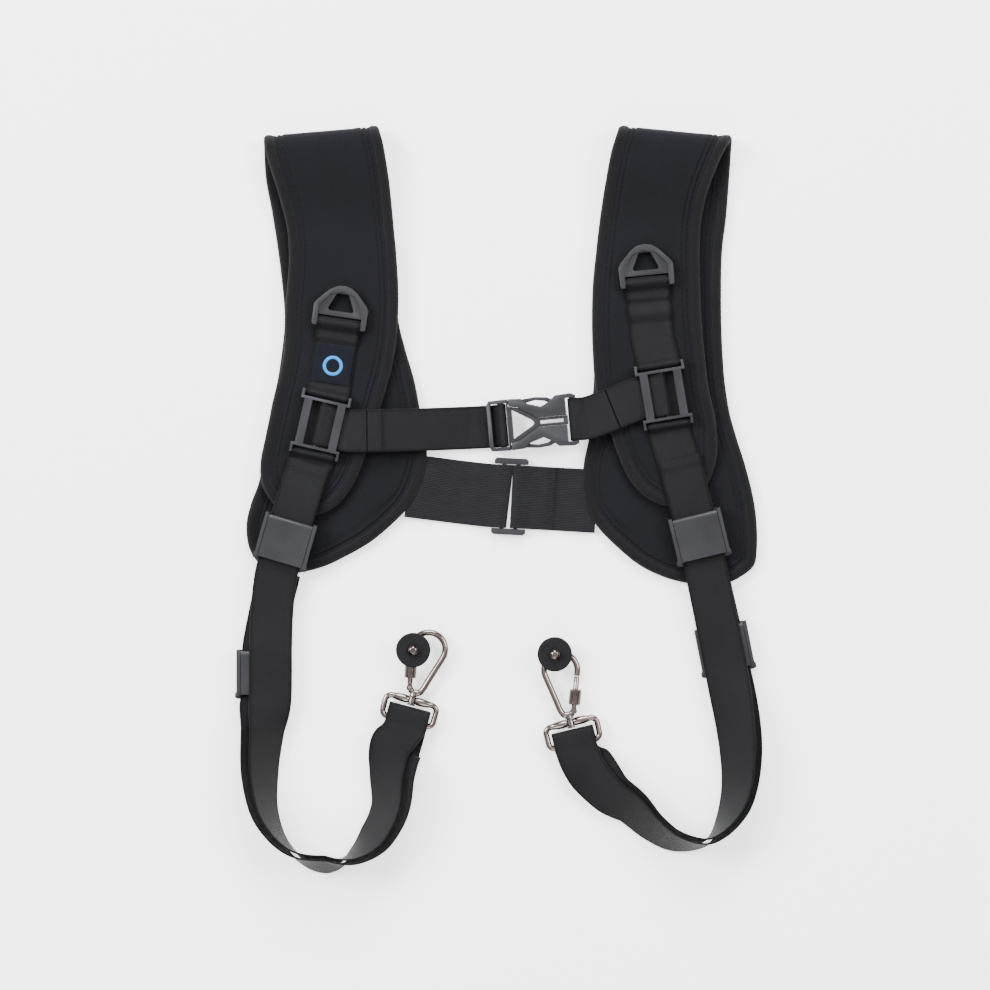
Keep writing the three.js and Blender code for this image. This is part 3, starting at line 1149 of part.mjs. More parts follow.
// Carabiners. Their own origin is the middle of the swivel's barrel, the gate on the left.
const HINGE = at(-HOOK_HINGE_SIDE, HOOK_HINGE_HEIGHT);
const arcCentre = at(HOOK_ARC_SIDE, HOOK_ARC_HEIGHT);
const onArc = (angle) => arcCentre.clone().add(at(
  HOOK_ARC_RADIUS * Math.cos(radians(angle)), HOOK_ARC_RADIUS * Math.sin(radians(angle)),
));
const NOSE_TOP = onArc(180 + GATE_LEAN);
const GATE_LINE = NOSE_TOP.clone().sub(HINGE).normalize();
const NOSE_END = NOSE_TOP.clone().addScaledVector(GATE_LINE, -NOSE_STRAIGHT);
const GATE_END = NOSE_END.clone().addScaledVector(GATE_LINE, -CLEARANCE - 0.1);
const TONGUE_RADIUS = 2.3;
const PIN_RADIUS = 0.8;
const CHEEK_FACE = TONGUE_THICKNESS / 2 + CLEARANCE;

const zBar = (place, radius, from, to, sides = 12) => (
  bar(at(place.x, place.y, from), at(place.x, place.y, to), radius, sides)
);

function carabiner(lean) {
  const arc = [];
  for (let angle = -SPINE_LEAN; angle <= 180 + GATE_LEAN; angle += 15) arc.push(onArc(angle));
  const foot = at(0, HOOK_FOOT);
  const points = [
    HINGE.clone(), at(-0.45 * HOOK_HINGE_SIDE, HOOK_FOOT + 0.4), foot,
    at(0.8 * HOOK_HINGE_SIDE, HOOK_FOOT + 0.5), at(1.3 * HOOK_HINGE_SIDE, HOOK_FOOT + 3.4),
    ...arc, NOSE_END,
  ];
  const fork = zBar(HINGE, TONGUE_RADIUS, -HOOK_WIRE_RADIUS, HOOK_WIRE_RADIUS);
  const slot = box(
    HINGE.x - 5, HINGE.x + TONGUE_RADIUS + 0.5, HINGE.y - TONGUE_RADIUS - 0.5, HINGE.y + 5,
    -CHEEK_FACE, CHEEK_FACE,
  );
  const pin = zBar(HINGE, PIN_RADIUS, -HOOK_WIRE_RADIUS + 0.2, HOOK_WIRE_RADIUS - 0.2, 8);
  const hook = join(wire(points, HOOK_WIRE_RADIUS), fork).subtract(solidOf(slot)).add(solidOf(pin));
  const leaning = geometryOf(hook)
    .translate(0, -HOOK_FOOT, 0)
    .rotateZ(radians(lean))
    .translate(0, HOOK_FOOT, 0);
  const headTop = -SWIVEL_BARREL_REACH - CLEARANCE;
  const post = bar(at(0, headTop - 0.5), at(0, HOOK_FOOT), POST_RADIUS);
  const head = bar(at(0, headTop - POST_HEAD), at(0, headTop), POST_HEAD_RADIUS);
  const collar = bar(at(0, SWIVEL_BARREL_REACH + CLEARANCE), at(0, HOOK_FOOT), POST_HEAD_RADIUS);
  return geometryOf(join(leaning, post, head, collar));
}

// A gate and its sleeve, drawn up their own Y from the hinge.
const GATE_LENGTH = GATE_END.distanceTo(HINGE);
function gate() {
  const tongue = bar(at(0, 0, -TONGUE_THICKNESS / 2), at(0, 0, TONGUE_THICKNESS / 2), TONGUE_RADIUS);
  const neck = box(-GATE_RADIUS + 0.3, GATE_RADIUS - 0.3, 0, 4, -TONGUE_THICKNESS / 2, TONGUE_THICKNESS / 2);
  const body = bar(at(0, TONGUE_RADIUS + CLEARANCE + 0.6), at(0, GATE_LENGTH), GATE_RADIUS);
  const hole = bar(at(0, 0, -3), at(0, 0, 3), PIN_RADIUS + CLEARANCE, 8);
  return geometryOf(join(tongue, neck, body).subtract(solidOf(hole)));
}

function lockSleeve() {
  const outer = bar(at(0, -SLEEVE_LENGTH / 2), at(0, SLEEVE_LENGTH / 2), SLEEVE_RADIUS, 16);
  const bore = bar(at(0, -SLEEVE_LENGTH), at(0, SLEEVE_LENGTH), SLEEVE_BORE, 16);
  return geometryOf(solidOf(outer).subtract(solidOf(bore)));
}

// Discs and screws: the screw's plate lies under the disc and hangs on the hook's wire by an eye.
const PLATE_FOOT = EYE_RADIUS - 0.5;
const DISC_FOOT = PLATE_FOOT + SCREW_PLATE + CLEARANCE;

function rubberDisc() {
  const disc = bar(at(0, 0, 0), at(0, 0, DISC_THICKNESS), DISC_RADIUS, 24);
  const hole = bar(at(0, 0, -1), at(0, 0, DISC_THICKNESS + 1), SCREW_RADIUS + 1.4 * CLEARANCE, 12);
  return geometryOf(solidOf(disc).subtract(solidOf(hole)));
}

function cameraScrew(mirror, offset, angle) {
  const plate = zBar(offset, SCREW_PLATE_RADIUS, PLATE_FOOT, PLATE_FOOT + SCREW_PLATE, 16);
  const screw = zBar(offset, SCREW_RADIUS, PLATE_FOOT, DISC_FOOT + DISC_THICKNESS + SCREW_ABOVE_DISC);
  const ring = bar(at(0, -EYE_WIDTH / 2), at(0, EYE_WIDTH / 2), EYE_RADIUS, 12);
  const hole = bar(at(0, -EYE_WIDTH), at(0, EYE_WIDTH), EYE_RADIUS - EYE_WALL, 12);
  const eye = geometryOf(solidOf(ring).subtract(solidOf(hole)));
  const place = onArc(angle);
  eye.rotateZ(radians(angle) * mirror).translate(place.x * mirror, place.y, 0);
  return geometryOf(join(plate, screw, eye));
}

const CLUSTERS = [
  {
    side: 'left', swivel: LEFT_SWIVEL, mirror: 1,
    disc: LEFT_DISC_OFFSET, eye: LEFT_EYE_ANGLE, sleeve: LEFT_SLEEVE_AT,
  },
  {
    side: 'right', swivel: RIGHT_SWIVEL, mirror: -1,
    disc: RIGHT_DISC_OFFSET, eye: RIGHT_EYE_ANGLE, sleeve: RIGHT_SLEEVE_AT,
  },
];

// Turned over about its own Y, which puts the gate on the right.
function turned(geometry, mirror) {
  return mirror > 0 ? geometry : geometry.rotateY(Math.PI);
}

CLUSTERS.forEach(({ side, swivel, mirror, disc, eye, sleeve }) => {
  const ring = swivelMatrix(swivel);
  const hook = ring.clone().multiply(new THREE.Matrix4().makeTranslation(0, LOWER_BAR, 0));
  const lean = new THREE.Matrix4().makeTranslation(0, HOOK_FOOT, 0)
    .multiply(new THREE.Matrix4().makeRotationZ(radians(swivel.lean)))
    .multiply(new THREE.Matrix4().makeTranslation(0, -HOOK_FOOT, 0));
  const leaning = hook.clone().multiply(lean);
  addPiece(`${side}_swivel_ring`, swivelRing(), GUNMETAL, ring);
  addPiece(`${side}_carabiner`, turned(carabiner(mirror * swivel.lean), mirror), GUNMETAL, hook);
  const line = new THREE.Matrix4().makeRotationZ(Math.atan2(-GATE_LINE.x, GATE_LINE.y) * mirror)
    .setPosition(HINGE.x * mirror, HINGE.y, 0);
  const gateMatrix = leaning.clone().multiply(line);
  addPiece(`${side}_gate`, gate(), GUNMETAL, gateMatrix);
  const sleeveMatrix = gateMatrix.clone().multiply(new THREE.Matrix4().makeTranslation(0, sleeve, 0));
  addPiece(`${side}_lock_sleeve`, lockSleeve(), GUNMETAL, sleeveMatrix);
  const place = at(disc.side * mirror, disc.up);
  const discPlace = new THREE.Matrix4().makeTranslation(place.x, place.y, DISC_FOOT);
  const discMatrix = leaning.clone().multiply(discPlace);
  addPiece(`${side}_rubber_disc`, rubberDisc(), RUBBER, discMatrix);
  addPiece(`${side}_camera_screw`, cameraScrew(mirror, place, eye), GUNMETAL, leaning);
});

// The bottom of the whole box is the surface it lies on, its middle the origin
harness.updateMatrixWorld(true);
const extent = new THREE.Box3().setFromObject(harness);
const middle = extent.getCenter(new THREE.Vector3());
harness.children.forEach((mesh) => mesh.position.sub(at(middle.x, middle.y, extent.min.z)));

export default harness;
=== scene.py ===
import json
import math

import bmesh
import bpy
import numpy as np
from mathutils import Matrix, Vector

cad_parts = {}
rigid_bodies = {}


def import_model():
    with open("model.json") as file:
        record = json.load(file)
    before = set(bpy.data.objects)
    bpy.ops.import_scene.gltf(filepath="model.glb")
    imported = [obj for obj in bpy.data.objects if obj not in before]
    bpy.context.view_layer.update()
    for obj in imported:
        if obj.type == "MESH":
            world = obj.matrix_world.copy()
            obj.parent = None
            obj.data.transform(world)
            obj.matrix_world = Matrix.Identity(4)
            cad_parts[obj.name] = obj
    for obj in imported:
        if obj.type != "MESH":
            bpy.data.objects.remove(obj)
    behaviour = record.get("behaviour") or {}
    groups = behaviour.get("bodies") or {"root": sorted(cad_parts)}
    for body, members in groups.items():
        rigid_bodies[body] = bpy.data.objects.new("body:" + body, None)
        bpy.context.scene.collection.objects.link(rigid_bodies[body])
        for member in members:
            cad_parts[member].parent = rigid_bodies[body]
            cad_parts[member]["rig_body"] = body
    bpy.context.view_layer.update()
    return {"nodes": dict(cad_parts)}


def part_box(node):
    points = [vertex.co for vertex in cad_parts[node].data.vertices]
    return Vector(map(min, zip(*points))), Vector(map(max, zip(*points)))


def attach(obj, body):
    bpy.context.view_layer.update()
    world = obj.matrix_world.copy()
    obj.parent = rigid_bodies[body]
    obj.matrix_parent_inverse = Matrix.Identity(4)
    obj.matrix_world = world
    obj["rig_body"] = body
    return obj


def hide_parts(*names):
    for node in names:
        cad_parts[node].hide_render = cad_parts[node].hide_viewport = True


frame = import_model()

MM = 0.001

# Sizes in millimetres, as the solids have them
CLEARANCE = 0.3
PADS_APART = 248
FOLD_TOP = 258
PAD_WIDTH = 78
FRONT_LEAF = 271.6
BACK_LEAF = 311.5
PANEL_THICKNESS = 5.2
PANEL_EDGE = 3.6
BEAD_HEIGHT = 6
FOLD_RADIUS = 7
FOLD_RUN = 62
FOLD_SLOPE = 0.09
SLOPE_REACH = 0.45
STRAP_WIDTH = 30
STRAP_THICKNESS = 1.3
ELASTIC_WIDTH = 44.5
ELASTIC_THICKNESS = 1.4
STRAP_DROP = 235
STRAP_SPREAD = 85
RING_BAR = 2.1
LOOP_TUCK = 11
LADDER_LENGTH = 35.4
LADDER_ROLL = 1.4
LADDER_POST = 1.1
LADDER_POST_SHIFT = 0.5
BUCKLE_LENGTH = 62.6
BUCKLE_BAR = 2.1
MALE_RAIL = 2.7
BUCKLE = {"x": 23.8, "y": 53, "level": 10.6, "turn": 5, "tilt": 5.5}
SLIDER = {"x": 7.9, "y": 1.4, "turn": -3}
SLIDER_BAR = 1.5
SLIDER_WEDGE = 3.4
CHEST_TAB = 33
CHEST_EDGE = 40
CHEST_FLOOR = 1.2
RIGHT_CHEST_DROP = 9.5
PATCH_FROM_RING = 28.8
PATCH_SIZE = 27

SWIVEL_WIDTH = 41
SWIVEL_HEIGHT = 19.5
SWIVEL_LEVEL = 6
WIRE = 2.1
BOSS = 3.2
BOSS_REACH = 2.3
POST = 1.7
POST_HEAD_RADIUS = 3
POST_HEAD = 1.2
HOOK_WIRE = 2.3
HOOK_ARC = 11.7
HOOK_ARC_MIDDLE = (1.8, 37.5)
HOOK_FOOT = 5.6
HINGE = (-4.0, 8.0)
GATE_LEAN = 12
SPINE_LEAN = 18
NOSE_STRAIGHT = 3
GATE_WIRE = 2
TONGUE = 1.6
TONGUE_RADIUS = 2.3
HINGE_PIN = 0.8
SLEEVE_LENGTH = 11
SLEEVE_RADIUS = 4.1
SLEEVE_BORE = 2.75
DISC_RADIUS = 12.1
DISC_THICKNESS = 4
SCREW_RADIUS = 3.1
SCREW_PLATE_RADIUS = 8.5
SCREW_PLATE = 1.4
SCREW_ABOVE_DISC = 5
EYE_RADIUS = 5
EYE_WALL = 1.8
EYE_WIDTH = 2.2

# Camera and floor
SENSOR_WIDTH = 36
LENS = 155.8
CAMERA_PLACE = (-0.0022, 0.00365, 3.012)
FAR_CLIP = 20
FLOOR_HALF = 6
FLOOR_DROP = 0.0004
FLOOR_GLOW = 1.1
LAMP_SIZE = 1.3
SKY_GREYS = ((0.0, 0.04), (0.5, 0.1), (0.72, 0.9), (0.9, 1))
SKY_STRENGTH = 1.25

# How finely the soft pieces are drawn
OUTLINE_STEPS = 4200
OUTLINE_POINTS = 1400
BEAD_POINTS = 940
BEAD_SIDES = 18
STITCH_LINE_POINTS = 1300
MARGIN = 8.1
MARGIN_STEP = 0.62
MIDDLE_COLUMNS = 18
STRAP_STEP = 0.8
SOFTENINGS = 3
UPPER_ROWS = 300
BIGHT_ROWS = 25
LOWER_ROWS = 240
WIRE_SIDES = 20

# What only the dressed pieces have
BEAD_WIDTH = 7.8
BEAD_RADIUS = 3.4
BEAD_SQUARENESS = 0.85
PANEL_FROM_EDGE = 6.8
STITCH_LINES = (9.0, 12.2)
GROOVE_DEPTH = 0.9
GROOVE_WIDTH = 0.75
THREAD = 0.24
STITCH = 2.6
STITCH_GAP = 1.3
SEAM_MARGIN = 2.2
HEM_LIFT = 0.55
TAIL_DROP = 0.6
CAMERA_STRAP_HEM = 7
CAMERA_STRAP_SEAM = 5.4
CHEST_TAIL = 10
CHEST_SEAMS = (1.6, -11.5)
QUILT_RISE = 7.5
RIPPLE_DEPTH = 0.16
RIPPLE_FROM = 12
RIPPLE_RISE = 8
PATCH_CORNER = 1.6
PATCH_HEM = 2
PATCH_STITCH = 1.9
PATCH_STITCH_GAP = 0.9
# The patch's skin from its underside in: shares of its outline, and heights
PATCH_RISE = (
    (1, -0.5), (1.0, 0.2), (0.985, 0.42), (0.95, 0.5), (0.8, 0.5), (0.5, 0.56), (0.2, 0.58),
)
RING_MIDDLE = (0.2, -1.2)
RING_RADIUS = 5.9
RING_BAND = 2.3
RING_STITCHES = 150
RING_THREAD = 0.19
SWIVEL_CORNER = 4.2
MOULD_ANGLE = 32
KNURL_DEPTH = 0.38
# The ring's spindle on each side of the boss: radius, and distance from the boss's middle
SPINDLE = (
    (1.9, 2.3), (2.5, 2.6), (2.85, 4), (2.95, 6), (2.85, 8.6), (2.6, 10.8), (2.3, 12.6),
    (2.0, 13.6),
)
THREAD_PITCH = 1.1
# How far before the ring's bar the last rows lie, and over how many rows the strap turns to it
STRAP_LEAD = (4, 0)
BAR_ROWS = 2.4

# The directions round a thread, which is drawn six-sided
SIXTHS = np.arange(6) * math.pi / 3

# How far from the middle of the webbing its colour starts to darken towards the edges, and where it
# is darkest
EDGE_DARKENING = (12.4, 13.4)

# Each leaf's outline: share of the leaf's length down from the fold, and shares of the pad's
# width to the left and right edges.
LEFT_FRONT = [
    (0.0, -0.52, 0.515), (0.06, -0.49, 0.56), (0.15, -0.4, 0.61), (0.25, -0.315, 0.645),
    (0.34, -0.295, 0.675), (0.45, -0.325, 0.69), (0.58, -0.345, 0.655), (0.7, -0.435, 0.55),
    (0.8, -0.51, 0.435), (0.86, -0.55, 0.37), (0.915, -0.54, 0.29), (0.96, -0.455, 0.175),
    (0.985, -0.355, 0.065), (1.0, -0.16, -0.16),
]
LEFT_BACK = [
    (0.045, -0.52, 0.543), (0.106, -0.504, 0.579), (0.182, -0.45, 0.606), (0.317, -0.373, 0.651),
    (0.429, -0.337, 0.687), (0.503, -0.363, 0.759), (0.564, -0.4, 0.83), (0.622, -0.453, 0.875),
    (0.694, -0.507, 0.929), (0.733, -0.534, 0.945), (0.791, -0.565, 0.898), (0.845, -0.642, 0.794),
    (0.888, -0.68, 0.637), (0.93, -0.67, 0.435), (0.96, -0.624, 0.229), (0.987, -0.516, -0.007),
    (1.0, -0.283, -0.283),
]
RIGHT_FRONT = [
    (0.0, -0.516, 0.503), (0.075, -0.583, 0.39), (0.157, -0.637, 0.287), (0.24, -0.682, 0.229),
    (0.325, -0.718, 0.215), (0.402, -0.745, 0.22), (0.492, -0.754, 0.233), (0.582, -0.745, 0.26),
    (0.673, -0.718, 0.3), (0.737, -0.655, 0.35), (0.776, -0.595, 0.368), (0.84, -0.52, 0.372),
    (0.905, -0.413, 0.305), (0.948, -0.278, 0.189), (0.974, -0.06, -0.06),
]
RIGHT_BACK = [
    (0.047, -0.55, 0.5), (0.103, -0.6, 0.485), (0.193, -0.655, 0.458), (0.272, -0.7, 0.422),
    (0.384, -0.727, 0.413), (0.485, -0.727, 0.422), (0.575, -0.736, 0.449), (0.643, -0.76, 0.494),
    (0.699, -0.781, 0.557), (0.755, -0.826, 0.628), (0.811, -0.835, 0.687), (0.856, -0.8, 0.72),
    (0.901, -0.682, 0.736), (0.942, -0.52, 0.736), (0.982, -0.323, 0.709), (1.009, -0.099, 0.583),
    (1.022, 0.1, 0.467), (1.027, 0.287, 0.287),
]

# The line down each front leaf: share of the pad's width across, share of the leaf down
LEFT_LINE = [
    (0.157, 0.499), (0.103, 0.603), (0.067, 0.666), (0.03, 0.713), (-0.05, 0.813),
    (-0.087, 0.86), (-0.167, 0.928), (-0.255, 0.992), (-0.319, 1.057),
]
RIGHT_LINE = [
    (-0.26, 0.392), (-0.234, 0.47), (-0.21, 0.536), (-0.169, 0.587), (-0.141, 0.634),
    (-0.082, 0.735), (-0.054, 0.782), (0.027, 0.855), (0.127, 0.935), (0.217, 1.044),
]

# The camera straps' upper layers from the lock to the ring: across and down in shares of the
# strap's spread and drop, level in strap widths, turn in degrees, then how far the lower layer
# lies apart and shifted, in strap widths. Near the rings they follow the photograph closer than
# the solids do.
LEFT_COURSE = [
    (0.193, -0.229, 0.483, 0, 0.21, 0), (0.1, -0.119, 0.547, 0, 0.21, 0),
    (0.0, 0.0, 0.463, 0, 0.25, -0.03), (-0.082, 0.104, 0.367, 0, 0.27, -0.05),
    (-0.119, 0.223, 0.3, 0, 0.22, 0.06), (-0.126, 0.32, 0.355, 5.5, 0.215, 0.16),
    (-0.13, 0.47, 0.375, 6.5, 0.215, 0.18), (-0.156, 0.566, 0.52, 38, 0.23, 0.08),
    (-0.177, 0.7, 0.555, 52, 0.22, 0.05), (-0.132, 0.819, 0.55, 68, 0.17, 0.03),
    (0.041, 0.917, 0.52, 90, 0.12, 0), (0.321, 0.959, 0.485, 112, 0.1, 0),
    (0.552, 0.932, 0.53, 78, 0.13, 0), (0.708, 0.879, 0.545, 54, 0.2, 0.03),
    (0.82, 0.795, 0.55, 48, 0.23, 0.08), (0.831, 0.693, 0.52, 36, 0.23, 0.16),
    (0.862, 0.612, 0.41, 14, 0.21, 0.22),
]
RIGHT_COURSE = [
    (-0.165, -0.229, 0.483, 0, 0.21, 0), (-0.082, -0.106, 0.463, 0, 0.21, 0),
    (0.0, 0.0, 0.377, 0, 0.21, 0), (0.082, 0.141, 0.31, 0, 0.21, -0.02),
    (0.156, 0.273, 0.305, 0, 0.22, -0.05), (0.226, 0.402, 0.31, 5, 0.22, -0.06),
    (0.293, 0.55, 0.455, 25, 0.23, -0.05), (0.317, 0.639, 0.51, 35, 0.23, -0.03),
    (0.313, 0.729, 0.53, 46, 0.2, 0), (0.272, 0.797, 0.535, 57, 0.17, 0),
    (0.165, 0.868, 0.535, 78, 0.13, 0), (0.049, 0.904, 0.51, 97, 0.12, 0),
    (-0.189, 0.901, 0.47, 116, 0.12, 0), (-0.371, 0.862, 0.425, 127, 0.13, 0),
    (-0.543, 0.8, 0.335, 138, 0.17, 0.03), (-0.708, 0.758, 0.27, 152, 0.19, 0.09),
    (-0.867, 0.686, 0.15, 169, 0.204, 0.18),
]
# The row at which the lower layer leaves the rear lock
EXIT_ROW = 2.95

SIDES = {
    "left": {
        "x": -PADS_APART / 2, "slope": FOLD_SLOPE, "front": LEFT_FRONT, "back": LEFT_BACK,
        "line": LEFT_LINE, "ladder": 72, "hand": 1, "course": LEFT_COURSE,
        "lock": (-148.9, -29.1), "swivel": (-62.6, -148.8, -15), "lean": 0,
        "disc": (-8.4, 34.4), "eye": 155, "sleeve": 12.3,
    },
    "right": {
        "x": PADS_APART / 2, "slope": -FOLD_SLOPE, "front": RIGHT_FRONT, "back": RIGHT_BACK,
        "line": RIGHT_LINE, "ladder": 80, "hand": -1, "course": RIGHT_COURSE,
        "lock": (140.2, -25.9), "swivel": (52.0, -164.6, 13.5), "lean": -7,
        "disc": (4.8, 49.2), "eye": 108, "sleeve": 9.8,
    },
}

# Heights of the layers
BACK_LEVEL = BEAD_HEIGHT / 2
FRONT_LEVEL = BACK_LEVEL + BEAD_HEIGHT + CLEARANCE
PANEL_TOP = FRONT_LEVEL + PANEL_THICKNESS / 2
WEBBING_LEVEL = PANEL_TOP + CLEARANCE + STRAP_THICKNESS / 2
LAYER_STEP = STRAP_THICKNESS + CLEARANCE
LOOP_RADIUS = RING_BAR + CLEARANCE + STRAP_THICKNESS / 2
RING_LEVEL = WEBBING_LEVEL + LOOP_RADIUS
ROLL_RADIUS = LADDER_ROLL + CLEARANCE + STRAP_THICKNESS / 2
ROLL_LEVEL = WEBBING_LEVEL + ROLL_RADIUS
ROLL_FROM_MIDDLE = LADDER_LENGTH / 2 + 1.6 * CLEARANCE + STRAP_THICKNESS / 2 + ROLL_RADIUS
POST_LOOP = LADDER_POST + CLEARANCE + STRAP_THICKNESS / 2
TAB_LEVEL = WEBBING_LEVEL + LAYER_STEP
LADDER_POST_LEVEL = TAB_LEVEL + POST_LOOP
BUCKLE_HALF = BUCKLE_LENGTH / 2
MALE_BAR_X = -BUCKLE_HALF + 9.8
FEMALE_BAR_X = BUCKLE_HALF - BUCKLE_BAR - 0.2
BAR_LOOP = BUCKLE_BAR + CLEARANCE + STRAP_THICKNESS / 2
ELASTIC_FLOOR = ELASTIC_THICKNESS / 2
ELASTIC_LOOP = SLIDER_BAR + CLEARANCE + ELASTIC_THICKNESS / 2
SLIDER_LEVEL = ELASTIC_FLOOR + ELASTIC_LOOP
SLIDER_BAR_X = SLIDER_WEDGE / 2 + ELASTIC_LOOP + ELASTIC_THICKNESS / 2
ELASTIC_UPPER = ELASTIC_FLOOR + ELASTIC_THICKNESS + CLEARANCE
BIGHT = WIRE + CLEARANCE + STRAP_THICKNESS / 2
LOWER_BAR = SWIVEL_HEIGHT / 2 - WIRE
HEAD_FOOT = LOWER_BAR - BOSS_REACH - CLEARANCE - POST_HEAD
BIGHT_REACH = LOWER_BAR + HEAD_FOOT - 3 * CLEARANCE - STRAP_THICKNESS / 2 - BIGHT
PLATE_FOOT = EYE_RADIUS - 0.5
DISC_FOOT = PLATE_FOOT + SCREW_PLATE + CLEARANCE

# The drawing's origin in the frame, from the slider, whose middle is known
slider_low, slider_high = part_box("back_slider")
ORIGIN = np.array((slider_low + slider_high) / 2) / MM - np.array(
    [SLIDER["x"], SLIDER["y"], SLIDER_LEVEL]
)


def linked(name, data):
    """A new object in the scene."""
    made = bpy.data.objects.new(name, data)
    bpy.context.scene.collection.objects.link(made)
    return made


# Camera
def set_camera():
    lens = bpy.data.cameras.new("picture_camera")
    lens.sensor_width = SENSOR_WIDTH
    lens.lens = LENS
    lens.clip_end = FAR_CLIP
    camera = linked("picture_camera", lens)
    camera.location = CAMERA_PLACE
    bpy.context.scene.camera = camera


set_camera()


# Materials
def linear(colour):
    """An sRGB hex colour as linear red, green, blue and alpha."""
    parts = [int(colour[i:i + 2], 16) / 255 for i in (1, 3, 5)]
    return [p / 12.92 if p <= 0.04045 else ((p + 0.055) / 1.055) ** 2.4 for p in parts] + [1.0]


def add(tree, kind, settings=None, **inputs):
    """Adds a node, gives it its settings, and fills or links its inputs by name or number."""
    made = tree.nodes.new("ShaderNode" + kind)
    for name, value in (settings or {}).items():
        setattr(made, name, value)
    for name, value in inputs.items():
        key = int(name[1:]) if name[0] == "i" and name[1:].isdigit() else name.replace("_", " ")
        socket = made.inputs[key]
        if isinstance(value, bpy.types.NodeSocket):
            tree.links.new(value, socket)
        else:
            socket.default_value = value
    return made


def math_of(tree, operation, first, second=0.0):
    return add(tree, "Math", {"operation": operation}, i0=first, i1=second).outputs[0]


def spread(tree, value, low, high, first=0.0, last=1.0):
    """A value from first to last spread over low to high."""
    ranges = {"From_Min": first, "From_Max": last, "To_Min": low, "To_Max": high}
    return add(tree, "MapRange", Value=value, **ranges).outputs[0]


def stops(ramp, *pairs):
    """Sets a colour ramp's stops, pairs of place and linear colour, and gives its colour."""
    elements = ramp.color_ramp.elements
    while len(elements) > 1:
        elements.remove(elements[-1])
    elements[0].position, elements[0].color = pairs[0]
    for place, colour in pairs[1:]:
        elements.new(place).color = colour
    return ramp.outputs[0]


# Patterns, their sizes in the units of the place: metres on the piece, millimetres on flat cloth
def ridges(tree, place, pitch, axis="X", distortion=0.0):
    return add(
        tree, "TexWave", {"wave_type": "BANDS", "bands_direction": axis, "wave_profile": "SIN"},
        Vector=place, Scale=math.pi / 10 / pitch * 2, Distortion=distortion, Detail=1.0,
    ).outputs["Fac"]


def twill(tree, place, pitch, turn):
    return ridges(tree, add(tree, "Mapping", Vector=place, Rotation=(0, 0, turn)).outputs[0], pitch)


def speckle(tree, place, size, detail=3.0):
    return add(tree, "TexNoise", Vector=place, Scale=1 / size, Detail=detail).outputs["Fac"]


def pimples(tree, place, scale):
    return add(tree, "TexVoronoi", Vector=place, Scale=scale).outputs["Distance"]


# Painted highlight: sharp edges, found by their pointiness, are coloured paler as if they caught
# the light
def painted_edge_highlight(tree, place, flat, sharp):
    edges = add(tree, "ValToRGB", Fac=add(tree, "NewGeometry").outputs["Pointiness"])
    return stops(edges, (flat, (0, 0, 0, 1)), (sharp, (1, 1, 1, 1)))


def finish(name, roughness, **sockets):
    """A material with its shader: constants go on the shader's own sockets."""
    material = bpy.data.materials.new(name)
    material.use_nodes = True
    tree = material.node_tree
    tree.nodes.clear()
    shader = add(tree, "BsdfPrincipled", Roughness=roughness, **sockets)
    add(tree, "OutputMaterial", Surface=shader.outputs[0])
    return material, tree, shader


def surface(name, roughness, colours, depth, patterns, gloss=None, edge_darkening=None, **sockets):
    """A material whose patterns mix its two hex colours and raise bumps of a real depth in
    millimetres. Each pattern is its kind, where it lies (Object for the piece, UV for flat
    cloth), its settings, and its weights in the colour, in the bumps and in the gloss."""
    material, tree, shader = finish(name, roughness, **sockets)
    places = add(tree, "TexCoord").outputs
    made = [
        (kind(tree, places[place], *settings), weights)
        for kind, place, settings, *weights in patterns
    ]

    def blend(which):
        total = None
        for pattern, weights in made:
            if len(weights) > which and weights[which]:
                part = math_of(tree, "MULTIPLY", pattern, weights[which])
                total = part if total is None else math_of(tree, "ADD", total, part)
        return total

    tone = blend(0)
    # Darkens the colour towards the edges of the cloth
    if edge_darkening:
        sideways = add(tree, "SeparateXYZ", Vector=places["UV"]).outputs[0]
        edge_tone = spread(tree, math_of(tree, "ABSOLUTE", sideways), 1.0, 0.3, *edge_darkening)
        tone = math_of(tree, "MULTIPLY", tone, edge_tone)
    mix = add(tree, "Mix", {"data_type": "RGBA"}, i0=tone)
    mix.inputs[6].default_value, mix.inputs[7].default_value = map(linear, colours)
    tree.links.new(mix.outputs[2], shader.inputs["Base Color"])
    if gloss:
        tree.links.new(spread(tree, blend(2), *gloss), shader.inputs["Roughness"])
    bump = add(tree, "Bump", Height=blend(1), Distance=depth * MM, Strength=1.0)
    tree.links.new(bump.outputs[0], shader.inputs["Normal"])
    return material


# Neoprene foam faced with nylon jersey: a dense matt black with a faint blue cast. The jersey's
# fine courses are drawn at 1.1 mm so that they show.
NEOPRENE = surface("nylon_faced_neoprene", 0.72, ("#09090c", "#131318"), 0.16, [
    (speckle, "Object", (0.05,), 0.5),
    (ridges, "Object", (0.0011, "X", 1.5), 0, 0.3),
    (ridges, "Object", (0.0014, "Y", 1.5), 0, 0.3),
    (speckle, "Object", (0.0013, 2.0), 0.5, 0.6),
], Sheen_Weight=0.03, Sheen_Roughness=0.45, IOR=1.5, Specular_IOR_Level=0.06)

# Knitted polyester edge tape: matt near-black with cross ribs about 1.2 mm apart.
TAPE = surface("knitted_edge_tape", 0.82, ("#08080a", "#161618"), 0.3, [
    (speckle, "Object", (0.03,), 0.55),
    (ridges, "UV", (1.25, "Y", 0.6), 0.45, 0.6),
    (ridges, "UV", (0.9, "X", 0.6), 0, 0.4),
], Sheen_Weight=0.05, Sheen_Roughness=0.5, IOR=1.5, Specular_IOR_Level=0.08)
